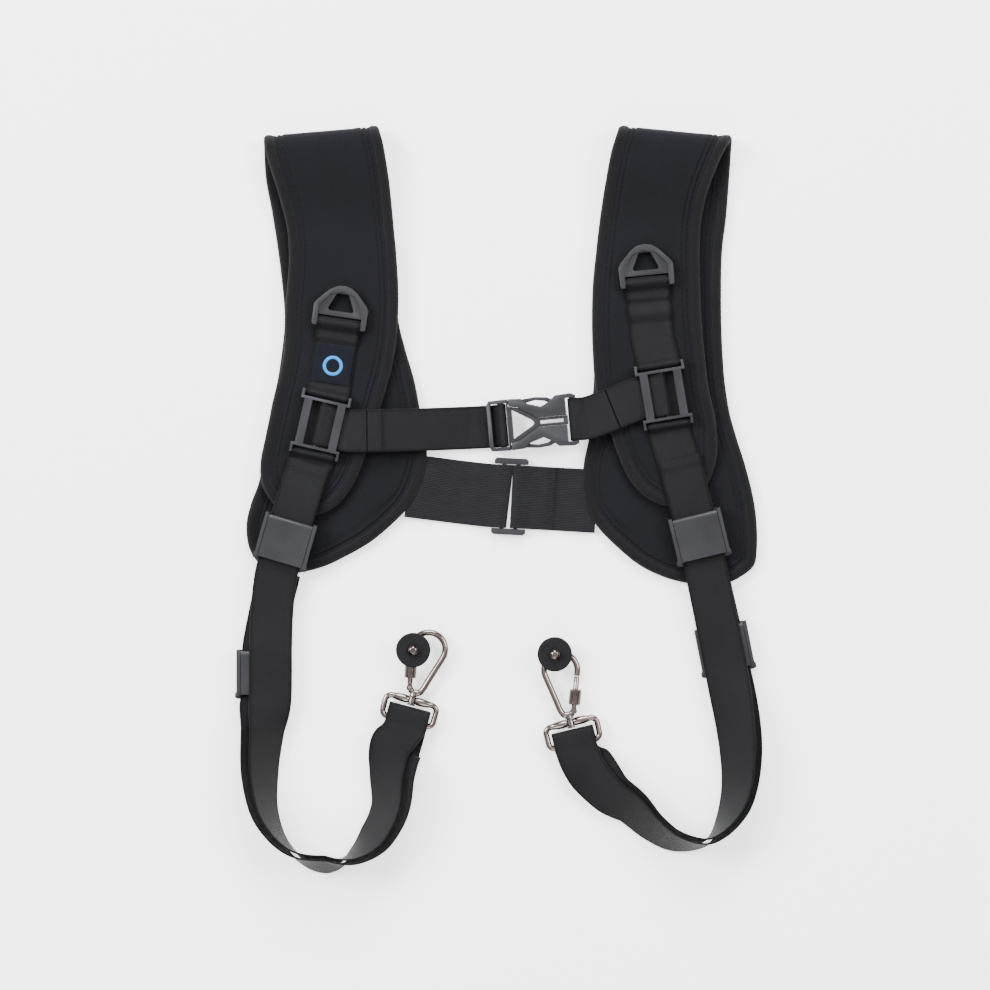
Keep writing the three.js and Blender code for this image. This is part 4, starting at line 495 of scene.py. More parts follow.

# Flat woven nylon webbing: a tight weave whose floats catch a satin light, its colour a shade
# darker near its edges. Warp floats 1 mm apart and picks 1.3 mm apart.
WEBBING = surface("woven_nylon_webbing", 0.52, ("#070708", "#1b1b1d"), 0.2, [
    (ridges, "UV", (1.0, "X", 0.3), 0.25, 0.45),
    (ridges, "UV", (1.3, "Y", 0.3), 0.2, 0.35),
    (speckle, "Object", (0.035,), 0.3),
    (speckle, "UV", (0.5, 4.0), 0.25, 0.3),
], edge_darkening=EDGE_DARKENING, Sheen_Weight=0.03, Sheen_Roughness=0.35, IOR=1.53, Specular_IOR_Level=0.07)

# Woven elastic: rubber cords under polyester, so it shows lengthwise ribs 2.3 mm apart with
# fine picks across them.
ELASTIC = surface("ribbed_woven_elastic", 0.78, ("#0a0a0b", "#232326"), 0.5, [
    (ridges, "UV", (2.3,), 0.5, 0.85),
    (ridges, "UV", (0.9, "Y", 0.4), 0.15, 0.15),
    (speckle, "UV", (14.0,), 0.35),
], Sheen_Weight=0.05, Sheen_Roughness=0.45, IOR=1.5, Specular_IOR_Level=0.1)

# Injection-moulded acetal: charcoal with a fine spark-eroded grain, a low sheen, and a painted
# highlight that colours its sharp edges a little paler.
ACETAL = surface("moulded_acetal", 0.42, ("#0d0d0f", "#2a2a2f"), 0.035, [
    # painted highlight on the sharp edges
    (painted_edge_highlight, "Object", (0.47, 0.6), 0.6),
    (speckle, "Object", (0.012,), 0.4, 0, 1),
    (speckle, "Object", (0.0006, 2.0), 0, 1),
], gloss=(0.34, 0.52), IOR=1.48, Specular_IOR_Level=0.3)

# Black-nickel plated steel wire: dark mirror-like metal with a warm cast, faint drawing marks
# and small dull patches.
NICKEL = surface("black_nickel_plate", 0.2, ("#5c5452", "#8a807d"), 0.012, [
    (speckle, "Object", (0.006,), 1, 0, 0.7),
    (speckle, "Object", (0.0007, 2.0), 0, 1, 0.3),
], gloss=(0.08, 0.24), Metallic=1.0)

# Moulded nitrile rubber: matt black with a pimpled grip about 1 mm apart.
RUBBER = surface("moulded_nitrile_rubber", 0.66, ("#0a0a0b", "#18181a"), -0.22, [
    (pimples, "Object", (950.0,), 0.5, 1),
    (speckle, "Object", (0.01,), 0.6),
], IOR=1.52, Specular_IOR_Level=0.08)

# Woven polyester twill of the patch: near-black with a blue cast, its diagonal at 0.9 mm.
TWILL = surface("label_twill", 0.74, ("#08090d", "#151821"), 0.15, [
    (twill, "UV", (0.9, 0.8), 0.5, 1),
    (speckle, "UV", (0.8,), 0.5),
], Sheen_Weight=0.05, Sheen_Roughness=0.4, Specular_IOR_Level=0.08)

# Twisted polyester thread: black a shade darker than the cloth, and blue for the satin stitch.
BLACK_THREAD, BLUE_THREAD = (
    surface(name, 0.6, colours, 0.05, [
        (ridges, "Object", (0.0005, "DIAGONAL"), 0.4, 1),
        (speckle, "Object", (0.002, 2.0), 0.6),
    ], Sheen_Weight=0.04, Specular_IOR_Level=0.08)
    for name, colours in (
        ("black_thread", ("#060607", "#101012")), ("blue_satin_stitch", ("#1d62a0", "#3c8ccc")),
    )
)


# Meshes. Shapes are drawn in millimetres from the drawing's origin.
def drawn_mesh(name, vertices, faces):
    mesh = bpy.data.meshes.new(name)
    places = (np.asarray(vertices, float).reshape(-1, 3) + ORIGIN) * MM
    mesh.from_pydata(places.tolist(), [], faces)
    return mesh


def face_outwards(mesh):
    work = bmesh.new()
    work.from_mesh(mesh)
    bmesh.ops.recalc_face_normals(work, faces=work.faces)
    work.to_mesh(mesh)
    work.free()


def smooth(mesh, sharp):
    """Shades a mesh smooth, but for edges sharper than an angle in degrees."""
    mesh.shade_smooth()
    mesh.set_sharp_from_angle(angle=math.radians(sharp))


def declared(made, body, slot, nodes):
    """Says which body a piece rides on and hides the CAD nodes that it stands for. Its slot is not
    used.
    """
    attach(made, body)
    if nodes:
        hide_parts(*nodes)
    return made


def shaped(made, sharp):
    """Applies a piece's modifiers."""
    bpy.context.view_layer.update()
    graph = bpy.context.evaluated_depsgraph_get()
    mesh = bpy.data.meshes.new_from_object(made.evaluated_get(graph))
    made.modifiers.clear()
    made.data = mesh
    smooth(mesh, sharp)


def piece(name, vertices, faces, material, slot, body="harness", nodes=(), uv=None, sharp=40):
    """Makes a smooth mesh that rides on a body and stands for the CAD nodes named."""
    mesh = drawn_mesh(name, vertices, faces)
    if uv is not None:
        layer = mesh.uv_layers.new(name="cloth_mm")
        layer.data.foreach_set("uv", np.asarray(uv, float).reshape(-1))
    if sharp is None:
        mesh.shade_smooth()
    else:
        face_outwards(mesh)
        smooth(mesh, sharp)
    mesh.materials.append(material)
    return declared(linked(name, mesh), body, slot, nodes)


def steel(name, shell, body, nodes=(), sharp=40):
    """A plated piece of a hook or ring."""
    return piece(name, *shell, NICKEL, "gunmetal", body, nodes=nodes, sharp=sharp)


def skin(rings, closed=False, across=None, along=None):
    """Vertices, faces and face-corner UVs of a skin over rings of points."""
    rings = np.asarray(rings, float)
    count, around = rings.shape[:2]
    faces, uv = [], []
    for i in range(count if closed else count - 1):
        j = (i + 1) % count
        for k in range(around):
            m = (k + 1) % around
            faces.append((i * around + k, i * around + m, j * around + m, j * around + k))
            if across is not None:
                low, high = along[i], along[i + 1]
                uv += [(across[k], low), (across[m], low), (across[m], high), (across[k], high)]
    if not closed:
        for start in (0, (count - 1) * around):
            faces.append(tuple(range(start, start + around)))
            if across is not None:
                uv += [(across[k], along[0 if start == 0 else -1]) for k in range(around)]
    return rings.reshape(-1, 3), faces, uv if across is not None else None


def joined(*parts):
    """Several shells of vertices and faces as one."""
    vertices, faces = [], []
    for points, shell in parts:
        first = len(vertices)
        vertices.extend(np.asarray(points).tolist())
        faces.extend(tuple(first + i for i in face) for face in shell)
    return np.array(vertices), faces


def moved(shell, matrix):
    """A shell put in its place by a 4x4 matrix."""
    points = np.asarray(shell[0])
    m = np.array(matrix)
    return points @ m[:3, :3].T + m[:3, 3], shell[1]


def unit(vector):
    return vector / np.linalg.norm(vector)


def placed(x, y, z=0.0, turn=0.0):
    """A place turned about the vertical by an angle in degrees."""
    return Matrix.Translation((x, y, z)) @ Matrix.Rotation(math.radians(turn), 4, "Z")


def turned(profile, sides=40, axis="Y", ridge=0.0, closed=False):
    """A turned shape from a profile of radius and height. Ridge cuts every other side in."""
    rings = []
    for radius, height in profile:
        ring = []
        for k in range(sides):
            angle = 2 * math.pi * k / sides
            r = radius - (ridge if k % 4 > 1 and radius > 3.5 else 0)
            a, b = r * math.cos(angle), r * math.sin(angle)
            ring.append({"Y": (a, height, -b), "Z": (a, b, height), "X": (height, a, b)}[axis])
        rings.append(ring)
    return skin(rings, closed=closed)[:2]


def washer(inner, outer, low, high, axis="Y", ease=0.3):
    """A turned ring with eased edges and an open bore."""
    profile = [
        (inner, low + ease), (inner + ease, low), (outer - ease, low), (outer, low + ease),
        (outer, high - ease), (outer - ease, high), (inner + ease, high), (inner, high - ease),
    ]
    return turned(profile, axis=axis, closed=True)


def tube(path, radius):
    """A round wire along a path in a level plane of its own."""
    path = np.asarray(path, float)
    up = np.array([0, 0, 1.0])
    angles = np.arange(WIRE_SIDES)[:, None] * 2 * math.pi / WIRE_SIDES
    rings = []
    ends = np.vstack([path[1:], path[-1:]]) - np.vstack([path[:1], path[:-1]])
    for here, ahead in zip(path, ends):
        flat = np.cross(unit(ahead), up)
        rings.append(here + radius * (np.cos(angles) * flat + np.sin(angles) * up))
    return skin(rings)[:2]


def block(x0, x1, y0, y1, z0, z1, ease=0.25):
    """A small bar with eased corners."""
    rings = []
    for y, grown in ((y0, -ease), (y0 + ease, 0), (y1 - ease, 0), (y1, -ease)):
        a, b, c, d = x0 - grown, x1 + grown, z0 - grown, z1 + grown
        rings.append([(a, y, c), (b, y, c), (b, y, d), (a, y, d)])
    return skin(rings)[:2]


# Smooth lines
def line_through(points, closed=False):
    """A smooth line through points. It gives the place at a share, from 0 to 1, of their count."""
    points = np.array(points, float)
    if closed:
        knots = np.vstack([points[-1:], points, points[:2]])
    else:
        knots = np.vstack([2 * points[:1] - points[1:2], points, 2 * points[-1:] - points[-2:-1]])
    spans = len(knots) - 3

    def place(share):
        i = min(int(share * spans), spans - 1)
        w = share * spans - i
        p0, p1, p2, p3 = knots[i:i + 4]
        pairs = ((p0, p1), (p1, p2), (p2, p3))
        d0, d1, d2 = (float(np.sum((b - a) ** 2)) ** 0.25 for a, b in pairs)
        d1 = 1.0 if d1 < 1e-4 else d1
        d0 = d1 if d0 < 1e-4 else d0
        d2 = d1 if d2 < 1e-4 else d2
        t1 = ((p1 - p0) / d0 - (p2 - p0) / (d0 + d1) + (p2 - p1) / d1) * d1
        t2 = ((p2 - p1) / d1 - (p3 - p1) / (d1 + d2) + (p3 - p2) / d2) * d1
        bend = -3 * p1 + 3 * p2 - 2 * t1 - t2
        return p1 + t1 * w + bend * w * w + (2 * p1 - 2 * p2 + t1 + t2) * w ** 3

    return place


def lengths(points):
    """How far along a row of points each one is."""
    steps = np.linalg.norm(np.diff(points, axis=0), axis=1)
    return np.concatenate([[0], np.cumsum(steps)])


def at_marks(marks, run, points):
    """The places on a row of points at distances along it, or its directions there."""
    return np.stack([np.interp(marks, run, column) for column in points.T], axis=-1)


def spaced(points, count, closed=False):
    """The same line with points evenly far apart."""
    points = np.asarray(points, float)
    if closed:
        points = np.vstack([points, points[:1]])
    run = lengths(points)
    return at_marks(np.linspace(0, run[-1], count, endpoint=not closed), run, points)


def directions(points, closed=False):
    """The unit direction of a row of points at each of them."""
    if closed:
        ahead = np.roll(points, -1, axis=0) - np.roll(points, 1, axis=0)
    else:
        ahead = np.gradient(points, axis=0)
    return ahead / np.maximum(np.linalg.norm(ahead, axis=1, keepdims=True), 1e-9)


# Pads
def pad_outline(pad):
    """The flat pad's outline: x across, y from the fold, the front leaf below it."""
    corners = []
    for rows, length, out, home in (
        (pad["front"], -FRONT_LEAF, 1, 2), (pad["back"], BACK_LEAF, 2, 1),
    ):
        corners += [(row[out] * PAD_WIDTH, row[0] * length) for row in rows]
        corners += [(row[home] * PAD_WIDTH, row[0] * length) for row in rows[-2::-1]]
    smooth = line_through(corners, closed=True)
    dense = [smooth(i / OUTLINE_STEPS) for i in range(OUTLINE_STEPS)]
    return spaced(dense, OUTLINE_POINTS, closed=True)


def inset(outline, distance):
    """The outline drawn in by a distance."""
    ahead = np.roll(outline, -4, axis=0) - np.roll(outline, 4, axis=0)
    ahead /= np.linalg.norm(ahead, axis=1, keepdims=True)
    return outline + distance * np.stack([-ahead[:, 1], ahead[:, 0]], axis=1)


def sides_at(outline, y):
    """Where the outline is crossed at a distance from the fold."""
    after = np.roll(outline, -1, axis=0)
    hit = (outline[:, 1] - y) * (after[:, 1] - y) <= 0
    hit &= outline[:, 1] != after[:, 1]
    share = (y - outline[hit, 1]) / (after[hit, 1] - outline[hit, 1])
    xs = outline[hit, 0] + share * (after[hit, 0] - outline[hit, 0])
    return xs.min(), xs.max()


def pad_point(pad, a, b, height):
    """The folded pad's point from its place on the flat pad and its height off the middle."""
    a, b, height = np.broadcast_arrays(*(np.asarray(v, float) for v in (a, b, height)))
    quarter = math.pi / 2 * FOLD_RADIUS
    run = np.abs(b)
    crest = FOLD_TOP - BEAD_HEIGHT / 2 - FOLD_RADIUS
    fade = np.maximum(0, 1 - run / (SLOPE_REACH * FRONT_LEAF))
    lift = pad["slope"] * a * fade * fade * (3 - 2 * fade)
    angle = b / FOLD_RADIUS
    reach = FOLD_RADIUS + height
    share = np.clip((run - quarter) / FOLD_RUN, 0, 1)
    ease = share * share * (3 - 2 * share)
    top = BACK_LEVEL + 2 * FOLD_RADIUS
    folding = run < quarter
    y = np.where(folding, crest + reach * np.cos(angle), crest - (run - quarter)) + lift
    flat = np.where(b > 0, BACK_LEVEL - height, top + (FRONT_LEVEL - top) * ease + height)
    z = np.where(folding, BACK_LEVEL + FOLD_RADIUS - reach * np.sin(angle), flat)
    return np.stack([pad["x"] + a, y, z], axis=-1)


def edge_distance(outline, a, b):
    """How far points of the flat pad are from its outline."""
    points = np.stack([a.ravel(), b.ravel()], axis=1)
    nearest = np.full(len(points), 1e9)
    for start in range(0, len(outline), 100):
        part = outline[start:start + 100]
        gap = np.linalg.norm(points[:, None, :] - part[None, :, :], axis=2).min(axis=1)
        nearest = np.minimum(nearest, gap)
    return nearest.reshape(a.shape)


def panel_height(distance, a, b):
    """The padded panel's half thickness: sewn down at its edge, quilted by two stitch lines."""
    rise = np.clip((distance - PANEL_FROM_EDGE) / QUILT_RISE, 0, 1)
    height = PANEL_EDGE / 2 + (PANEL_THICKNESS - PANEL_EDGE) / 2 * np.sqrt(rise * (2 - rise))
    for line in STITCH_LINES:
        height = height - GROOVE_DEPTH * np.exp(-((distance - line) / GROOVE_WIDTH) ** 2)
    ripple = np.sin(a / 11.0 + 1.3 * np.sin(b / 23.0)) * np.sin(b / 17.0 + 0.9)
    inside = np.clip((distance - RIPPLE_FROM) / RIPPLE_RISE, 0, 1)
    return height - RIPPLE_DEPTH * (1 + ripple) * inside


def pad_rows(low, high):
    """Distances from the fold for the panel's rows, closer together at its tips."""
    near = np.concatenate([np.arange(0.15, 8, 0.7), np.arange(8, 40, 1.5)])
    middle = np.arange(low + 40, high - 40, 2.4)
    return np.concatenate([low + near, middle, (high - near)[::-1]])


def pad_panel(name, pad):
    outline = pad["outline"]
    edge = inset(outline, PANEL_FROM_EDGE)
    margins = np.arange(0, MARGIN, MARGIN_STEP)
    places = pad_rows(edge[:, 1].min(), edge[:, 1].max())
    rows = []
    for b in places:
        left, right = sides_at(edge, b)
        half = (right - left) / 2
        near = margins * min(1, 0.55 * half / margins[-1])
        inside = np.linspace(near[-1], 2 * half - near[-1], MIDDLE_COLUMNS)[1:-1]
        rows.append(np.concatenate([left + near, left + inside, (right - near)[::-1]]))
    a = np.array(rows)
    b = np.repeat(places[:, None], a.shape[1], axis=1)
    height = panel_height(edge_distance(outline, a, b), a, b)
    outer = pad_point(pad, a, b, height)
    inner = pad_point(pad, a, b, -height)
    rings = np.concatenate([outer, inner[:, ::-1]], axis=1)
    vertices, faces, _ = skin(rings)
    made = piece(name, vertices, faces, NEOPRENE, "neoprene", nodes=[name], sharp=70)


def frames_on_pad(pad, line):
    """Places, sideways directions and upward directions along a line of the flat pad."""
    here = pad_point(pad, line[:, 0], line[:, 1], 0)
    above = pad_point(pad, line[:, 0], line[:, 1], 1) - here
    above /= np.linalg.norm(above, axis=1, keepdims=True)
    ahead = directions(here, closed=True)
    across = np.cross(ahead, above)
    across /= np.linalg.norm(across, axis=1, keepdims=True)
    return here, across, above


def pad_bead(name, pad):
    """The rounded edge tape, its outer edge on the pad's outline."""
    line = spaced(inset(pad["outline"], BEAD_WIDTH / 2), BEAD_POINTS, closed=True)
    here, across, above = frames_on_pad(pad, line)
    angles = np.arange(BEAD_SIDES) * 2 * math.pi / BEAD_SIDES
    out, up = (np.sign(v) * np.abs(v) ** BEAD_SQUARENESS for v in (np.cos(angles), np.sin(angles)))
    rings = here[:, None] + BEAD_WIDTH / 2 * out[:, None] * across[:, None]
    rings = rings + BEAD_HEIGHT / 2 * up[:, None] * above[:, None]
    run = lengths(np.vstack([here, here[:1]]))
    vertices, faces, uv = skin(rings, closed=True, across=angles * BEAD_RADIUS, along=run)
    piece(name, vertices, faces, TAPE, "binding", nodes=[name], uv=uv, sharp=None)


def stitches(name, lines, stitch=STITCH, gap=STITCH_GAP):
    """Rows of sewn stitches. Each line is its places and the directions off the cloth there."""
    parts = []
    for places, above in lines:
        run = lengths(places)
        starts = np.arange(gap / 2, run[-1] - stitch, stitch + gap)
        for start in starts:
            marks = start + stitch * np.array([0, 0.25, 0.75, 1.0])
            here, off = at_marks(marks, run, places), at_marks(start, run, above)
            ahead = here[-1] - here[0]
            ahead /= max(np.linalg.norm(ahead), 1e-9)
            side = np.cross(ahead, off)
            lifts = THREAD * np.array([-0.6, 0.45, 0.45, -0.6])
            rings = here[:, None] + (lifts[:, None] + THREAD * np.sin(SIXTHS))[..., None] * off
            parts.append(skin(rings + (THREAD * np.cos(SIXTHS))[:, None] * side)[:2])
    vertices, faces = joined(*parts)
    return piece(name, vertices, faces, BLACK_THREAD, "binding", sharp=80)


def pad_stitches(name, pad):
    lines = []
    for distance in STITCH_LINES:
        line = spaced(inset(pad["outline"], distance), STITCH_LINE_POINTS, closed=True)
        depth = panel_height(np.full(len(line), distance), line[:, 0], line[:, 1])
        for face in (1, -1):
            here = pad_point(pad, line[:, 0], line[:, 1], face * depth)
            above = pad_point(pad, line[:, 0], line[:, 1], face * (depth + 1)) - here
            lines.append((here, above))
    stitches(name, lines)


for side, pad in SIDES.items():
    pad["outline"] = pad_outline(pad)
    pad_panel(f"{side}_pad", pad)
    pad_bead(f"{side}_pad_binding", pad)
    pad_stitches(f"{side}_pad_stitches", pad)


# Straps
SEAMS = []


def seam_across(here, across, above, run, distance, width, thickness):
    """A row of stitches across a strap at a distance from its first end, or from its last."""
    i = int(np.searchsorted(run, distance % run[-1]))
    off = above[i] * np.sign(above[i][2])
    reach = np.linspace(-width / 2 + SEAM_MARGIN, width / 2 - SEAM_MARGIN, 60)
    places = here[i] + off * (thickness / 2 + 0.05) + across[i] * reach[:, None]
    SEAMS.append((places, np.tile(off, (len(reach), 1))))


def strip(
    name, frames, size=(STRAP_WIDTH, STRAP_THICKNESS), cloth=WEBBING,
    slot="webbing", hem=0.0, tail=0.0, seams=(),
):
    """A flat strap with rounded selvedges along its frames. A hem thickens its first end and a
    tail its last."""
    here, across, above = frames
    width, thickness = size
    w, t = width / 2, thickness / 2
    edge = [(w, 0), (w - 0.12, 0.6 * t), (w - 0.45, 0.98 * t), (w - 1.1, 1.08 * t), (w - 2.0, t)]
    inner = [(x, t) for x in np.linspace(w - 4.5, -(w - 4.5), 7)]
    top = edge + inner + [(-x, y) for x, y in edge[::-1]]
    section = np.array(top + [(x, -y) for x, y in top[-2:0:-1]])
    run = lengths(here)
    folded = 0.5 + 0.5 * np.tanh((hem - run) / 0.5) if hem else np.zeros(len(run))
    lift = np.where(section[:, 1] > 0.1, 1.0, 0.0)
    height = section[None, :, 1] + HEM_LIFT * thickness * folded[:, None] * lift[None, :]
    if tail:
        doubled = 0.5 + 0.5 * np.tanh((run - run[-1] + tail) / 0.5)
        drop = np.where(section[:, 1] < -0.1, TAIL_DROP * thickness, 0.0)
        height = height - doubled[:, None] * drop[None, :]
    for distance in seams:
        seam_across(here, across, above, run, distance, width, thickness)
    rings = here[:, None] + section[:, :1] * across[:, None] + height[..., None] * above[:, None]
    vertices, faces, uv = skin(rings, across=section[:, 0], along=run)
    made = piece(name, vertices, faces, cloth, slot, nodes=[name], uv=uv, sharp=50)
    return made


def plan_line(points):
    """A line seen from above: place and direction at a distance along it, also past its ends."""
    smooth = line_through(points)
    dense = np.array([smooth(i / 800) for i in range(801)])[:, :2]
    run = lengths(dense)
    ahead = directions(dense)

    def at(distance):
        inside = min(max(distance, 0), run[-1])
        along = unit(at_marks(inside, run, ahead))
        return at_marks(inside, run, dense) + along * (distance - inside), along

    return at, run[-1]


def arc(x, y, radius, start, stop, steps=16):
    angles = np.radians(np.linspace(start, stop, steps + 1))
    return [(x + radius * math.cos(t), y + radius * math.sin(t)) for t in angles]


def eased(corners):
    """A side view's corners as an evenly spaced line with softened bends."""
    corners = np.array(corners, float)
    line = spaced(corners, max(8, int(lengths(corners)[-1] / STRAP_STEP)))
    for _ in range(SOFTENINGS):
        line[1:-1] = (line[:-2] + 2 * line[1:-1] + line[2:]) / 4
    return line


def side_frames(line, corners):
    """Frames of a strap that follows a plan line and rises and falls as a side view says."""
    side = eased(corners)
    slope = directions(side)
    here, across, above = [], [], []
    for (distance, height), (run, rise) in zip(side, slope):
        place, along = line(distance)
        here.append((place[0], place[1], height))
        across.append((along[1], -along[0], 0.0))
        above.append((-along[0] * rise, -along[1] * rise, run))
    return np.array(here), np.array(across), np.array(above)


def front_line(pad):
    points = [(pad["x"] + a * PAD_WIDTH, FOLD_TOP - d * FRONT_LEAF, 0) for a, d in pad["line"]]
    return plan_line(points)[0]


FRONT_LINES = {side: front_line(pad) for side, pad in SIDES.items()}


def on_front_line(side, distance, level=0.0):
    """The place of a hard piece on the front line: its Y up the pad, its X to the right."""
    here, along = FRONT_LINES[side](distance)
    up = Vector((-along[0], -along[1], 0))
    right = up.cross(Vector((0, 0, 1))).normalized()
    matrix = Matrix((right, up, (0, 0, 1))).transposed().to_4x4()
    matrix.translation = (here[0], here[1], level)
    return matrix


def centre_webbing(side, ends, ripples):
    flat, upper, rise = WEBBING_LEVEL, WEBBING_LEVEL + LAYER_STEP, 3.4
    first = SIDES[side]["ladder"] - ROLL_FROM_MIDDLE
    last = SIDES[side]["ladder"] + ROLL_FROM_MIDDLE
    corners = [
        (LOOP_TUCK, flat), (LOOP_TUCK / 2, flat),
        *arc(0, RING_LEVEL, LOOP_RADIUS, -90, -312, 20),
        (LOOP_TUCK * 0.55, upper + 0.2), (LOOP_TUCK + 0.4, upper), (LOOP_TUCK + rise, flat),
        *[(LOOP_TUCK + rise + along, flat + up) for along, up in ripples],
        (first - ROLL_RADIUS - 3.4, flat), (first - ROLL_RADIUS - 1.4, flat + 0.55),
        *arc(first, ROLL_LEVEL, ROLL_RADIUS, 190, 0),
        (first + ROLL_RADIUS, flat + 0.35), (first + ROLL_RADIUS + 0.7, flat),
        (last - ROLL_RADIUS - 0.7, flat), (last - ROLL_RADIUS, flat + 0.35),
        *arc(last, ROLL_LEVEL, ROLL_RADIUS, 180, -10),
        (last + ROLL_RADIUS + 1.4, flat + 0.55), (last + ROLL_RADIUS + 3.4, flat), (ends, flat),
    ]
    frames = side_frames(FRONT_LINES[side], corners)
    strip(f"{side}_centre_webbing", frames)


centre_webbing("left", 120, [])
centre_webbing("right", 136, [(4, 1.4), (7.5, 2.2), (11, 1.2), (14, 0)])

BUCKLE_PLACE = placed(
    BUCKLE["x"], BUCKLE["y"], BUCKLE["level"], BUCKLE["turn"],
) @ Matrix.Rotation(-math.radians(BUCKLE["tilt"]), 4, "Y")


def chest_line(side, bar_x):
    hand = SIDES[side]["hand"]
    ladder = on_front_line(side, SIDES[side]["ladder"])
    lead = 0.65 * STRAP_WIDTH
    points = [
        ladder @ Vector((-hand * LADDER_POST_SHIFT, 0, 0)),
        ladder @ Vector(((0.8 * lead - LADDER_POST_SHIFT) * hand, 0, 0)),
        ladder @ Vector(((lead - LADDER_POST_SHIFT) * hand, 0, 0)),
        BUCKLE_PLACE @ Vector((bar_x - hand * lead / 2, 0, 0)),
        BUCKLE_PLACE @ Vector((bar_x, 0, 0)),
    ]
    line, length = plan_line([(p.x, p.y, 0) for p in points])
    return line, length, points[-1].z


# Both chest straps' fold round the ladder buckle's post, seen from the side
POST_FOLD = [
    (9, TAB_LEVEL + LAYER_STEP), (5.4, LADDER_POST_LEVEL + 0.9),
    *arc(0, LADDER_POST_LEVEL, POST_LOOP, 55, 270), (8, TAB_LEVEL),
]


def left_chest_strap():
    line, length, level = chest_line("left", MALE_BAR_X)
    upper, floor, over = TAB_LEVEL + LAYER_STEP, CHEST_FLOOR, CHEST_FLOOR + LAYER_STEP
    rail = BUCKLE_HALF + MALE_BAR_X - MALE_RAIL
    half_along, half_up = 0.62 * length, 0.47 * TAB_LEVEL + 0.53 * floor
    corners = [
        (CHEST_TAB, upper), *POST_FOLD, (CHEST_EDGE, TAB_LEVEL), (half_along, half_up),
        (length - 22, floor), (length - rail - 0.4, floor),
        *arc(length, level, BAR_LOOP, -63, 145, 18),
        (length - rail, over), (length - 22, over), (half_along, half_up + LAYER_STEP),
        (CHEST_EDGE, upper), (CHEST_TAB + 1, upper),
    ]
    strip(
        "left_chest_strap", side_frames(line, corners),
        tail=CHEST_TAIL, seams=CHEST_SEAMS,
    )


def right_chest_strap():
    line, length, level = chest_line("right", FEMALE_BAR_X)
    upper, drop, crease = TAB_LEVEL + LAYER_STEP, length - RIGHT_CHEST_DROP, 0.57 * length
    corners = [
        (crease - 0.5, upper), *POST_FOLD, (crease, TAB_LEVEL), (drop, TAB_LEVEL - 0.8),
        *arc(length, level, BAR_LOOP, -112, 98, 18),
        (drop, TAB_LEVEL - 0.8 + LAYER_STEP), (crease + 0.5, upper),
    ]
    strip("right_chest_strap", side_frames(line, corners))


left_chest_strap()
right_chest_strap()

SLIDER_PLACE = placed(SLIDER["x"], SLIDER["y"], SLIDER_LEVEL, SLIDER["turn"])


def elastic_band(name, bar_x, end, corners, reach, seams=()):
    """A band of the back strap. Its fold round the slider's bar reaches on by two distances,
    at the band's lower and upper edge."""
    start = SLIDER_PLACE @ Vector((bar_x, 0, 0))
    lead = SLIDER_PLACE @ Vector((bar_x * 3, 0, 0))
    line, _ = plan_line([(start.x, start.y, 0), (lead.x, lead.y, 0), (*end, 0)])
    made = strip(
        name, side_frames(line, corners), size=(ELASTIC_WIDTH, ELASTIC_THICKNESS),
        cloth=ELASTIC, slot="elastic", seams=seams,
    )
    hand, back = -np.sign(bar_x), SLIDER_PLACE.inverted()
    for vertex in made.data.vertices:
        local = back @ (vertex.co / MM - Vector(ORIGIN))
        share = min(1.0, max(0.0, (local.x - bar_x) * hand / ELASTIC_LOOP))
        top = 0.5 + local.y / ELASTIC_WIDTH
        local.x += hand * share * (reach[0] + (reach[1] - reach[0]) * top)
        vertex.co = (SLIDER_PLACE @ local + Vector(ORIGIN)) * MM


elastic_band("left_back_elastic", -SLIDER_BAR_X, (-68, 9.6), [
    (18, ELASTIC_FLOOR), *arc(0, SLIDER_LEVEL, ELASTIC_LOOP, 270, 62),
    (9, ELASTIC_UPPER + 0.4), (18, ELASTIC_UPPER), (25, ELASTIC_FLOOR), (41.4, ELASTIC_FLOOR),
    (54, BACK_LEVEL), (67, BACK_LEVEL),
], reach=(0.4, 3.4))
elastic_band("right_back_elastic", SLIDER_BAR_X, (78, -2.6), [
    (26, ELASTIC_UPPER), (9.1, ELASTIC_UPPER + 0.4),
    *arc(0, SLIDER_LEVEL, ELASTIC_LOOP, 62, 270),
    (29.9, ELASTIC_FLOOR), (41.6, BACK_LEVEL), (56, BACK_LEVEL),
], reach=(0.9, 0.9), seams=(2.0, 4.5))


# Camera straps
def swivel_place(side):
    x, y, turn = SIDES[side]["swivel"]
    return placed(x, y, SWIVEL_LEVEL, turn)


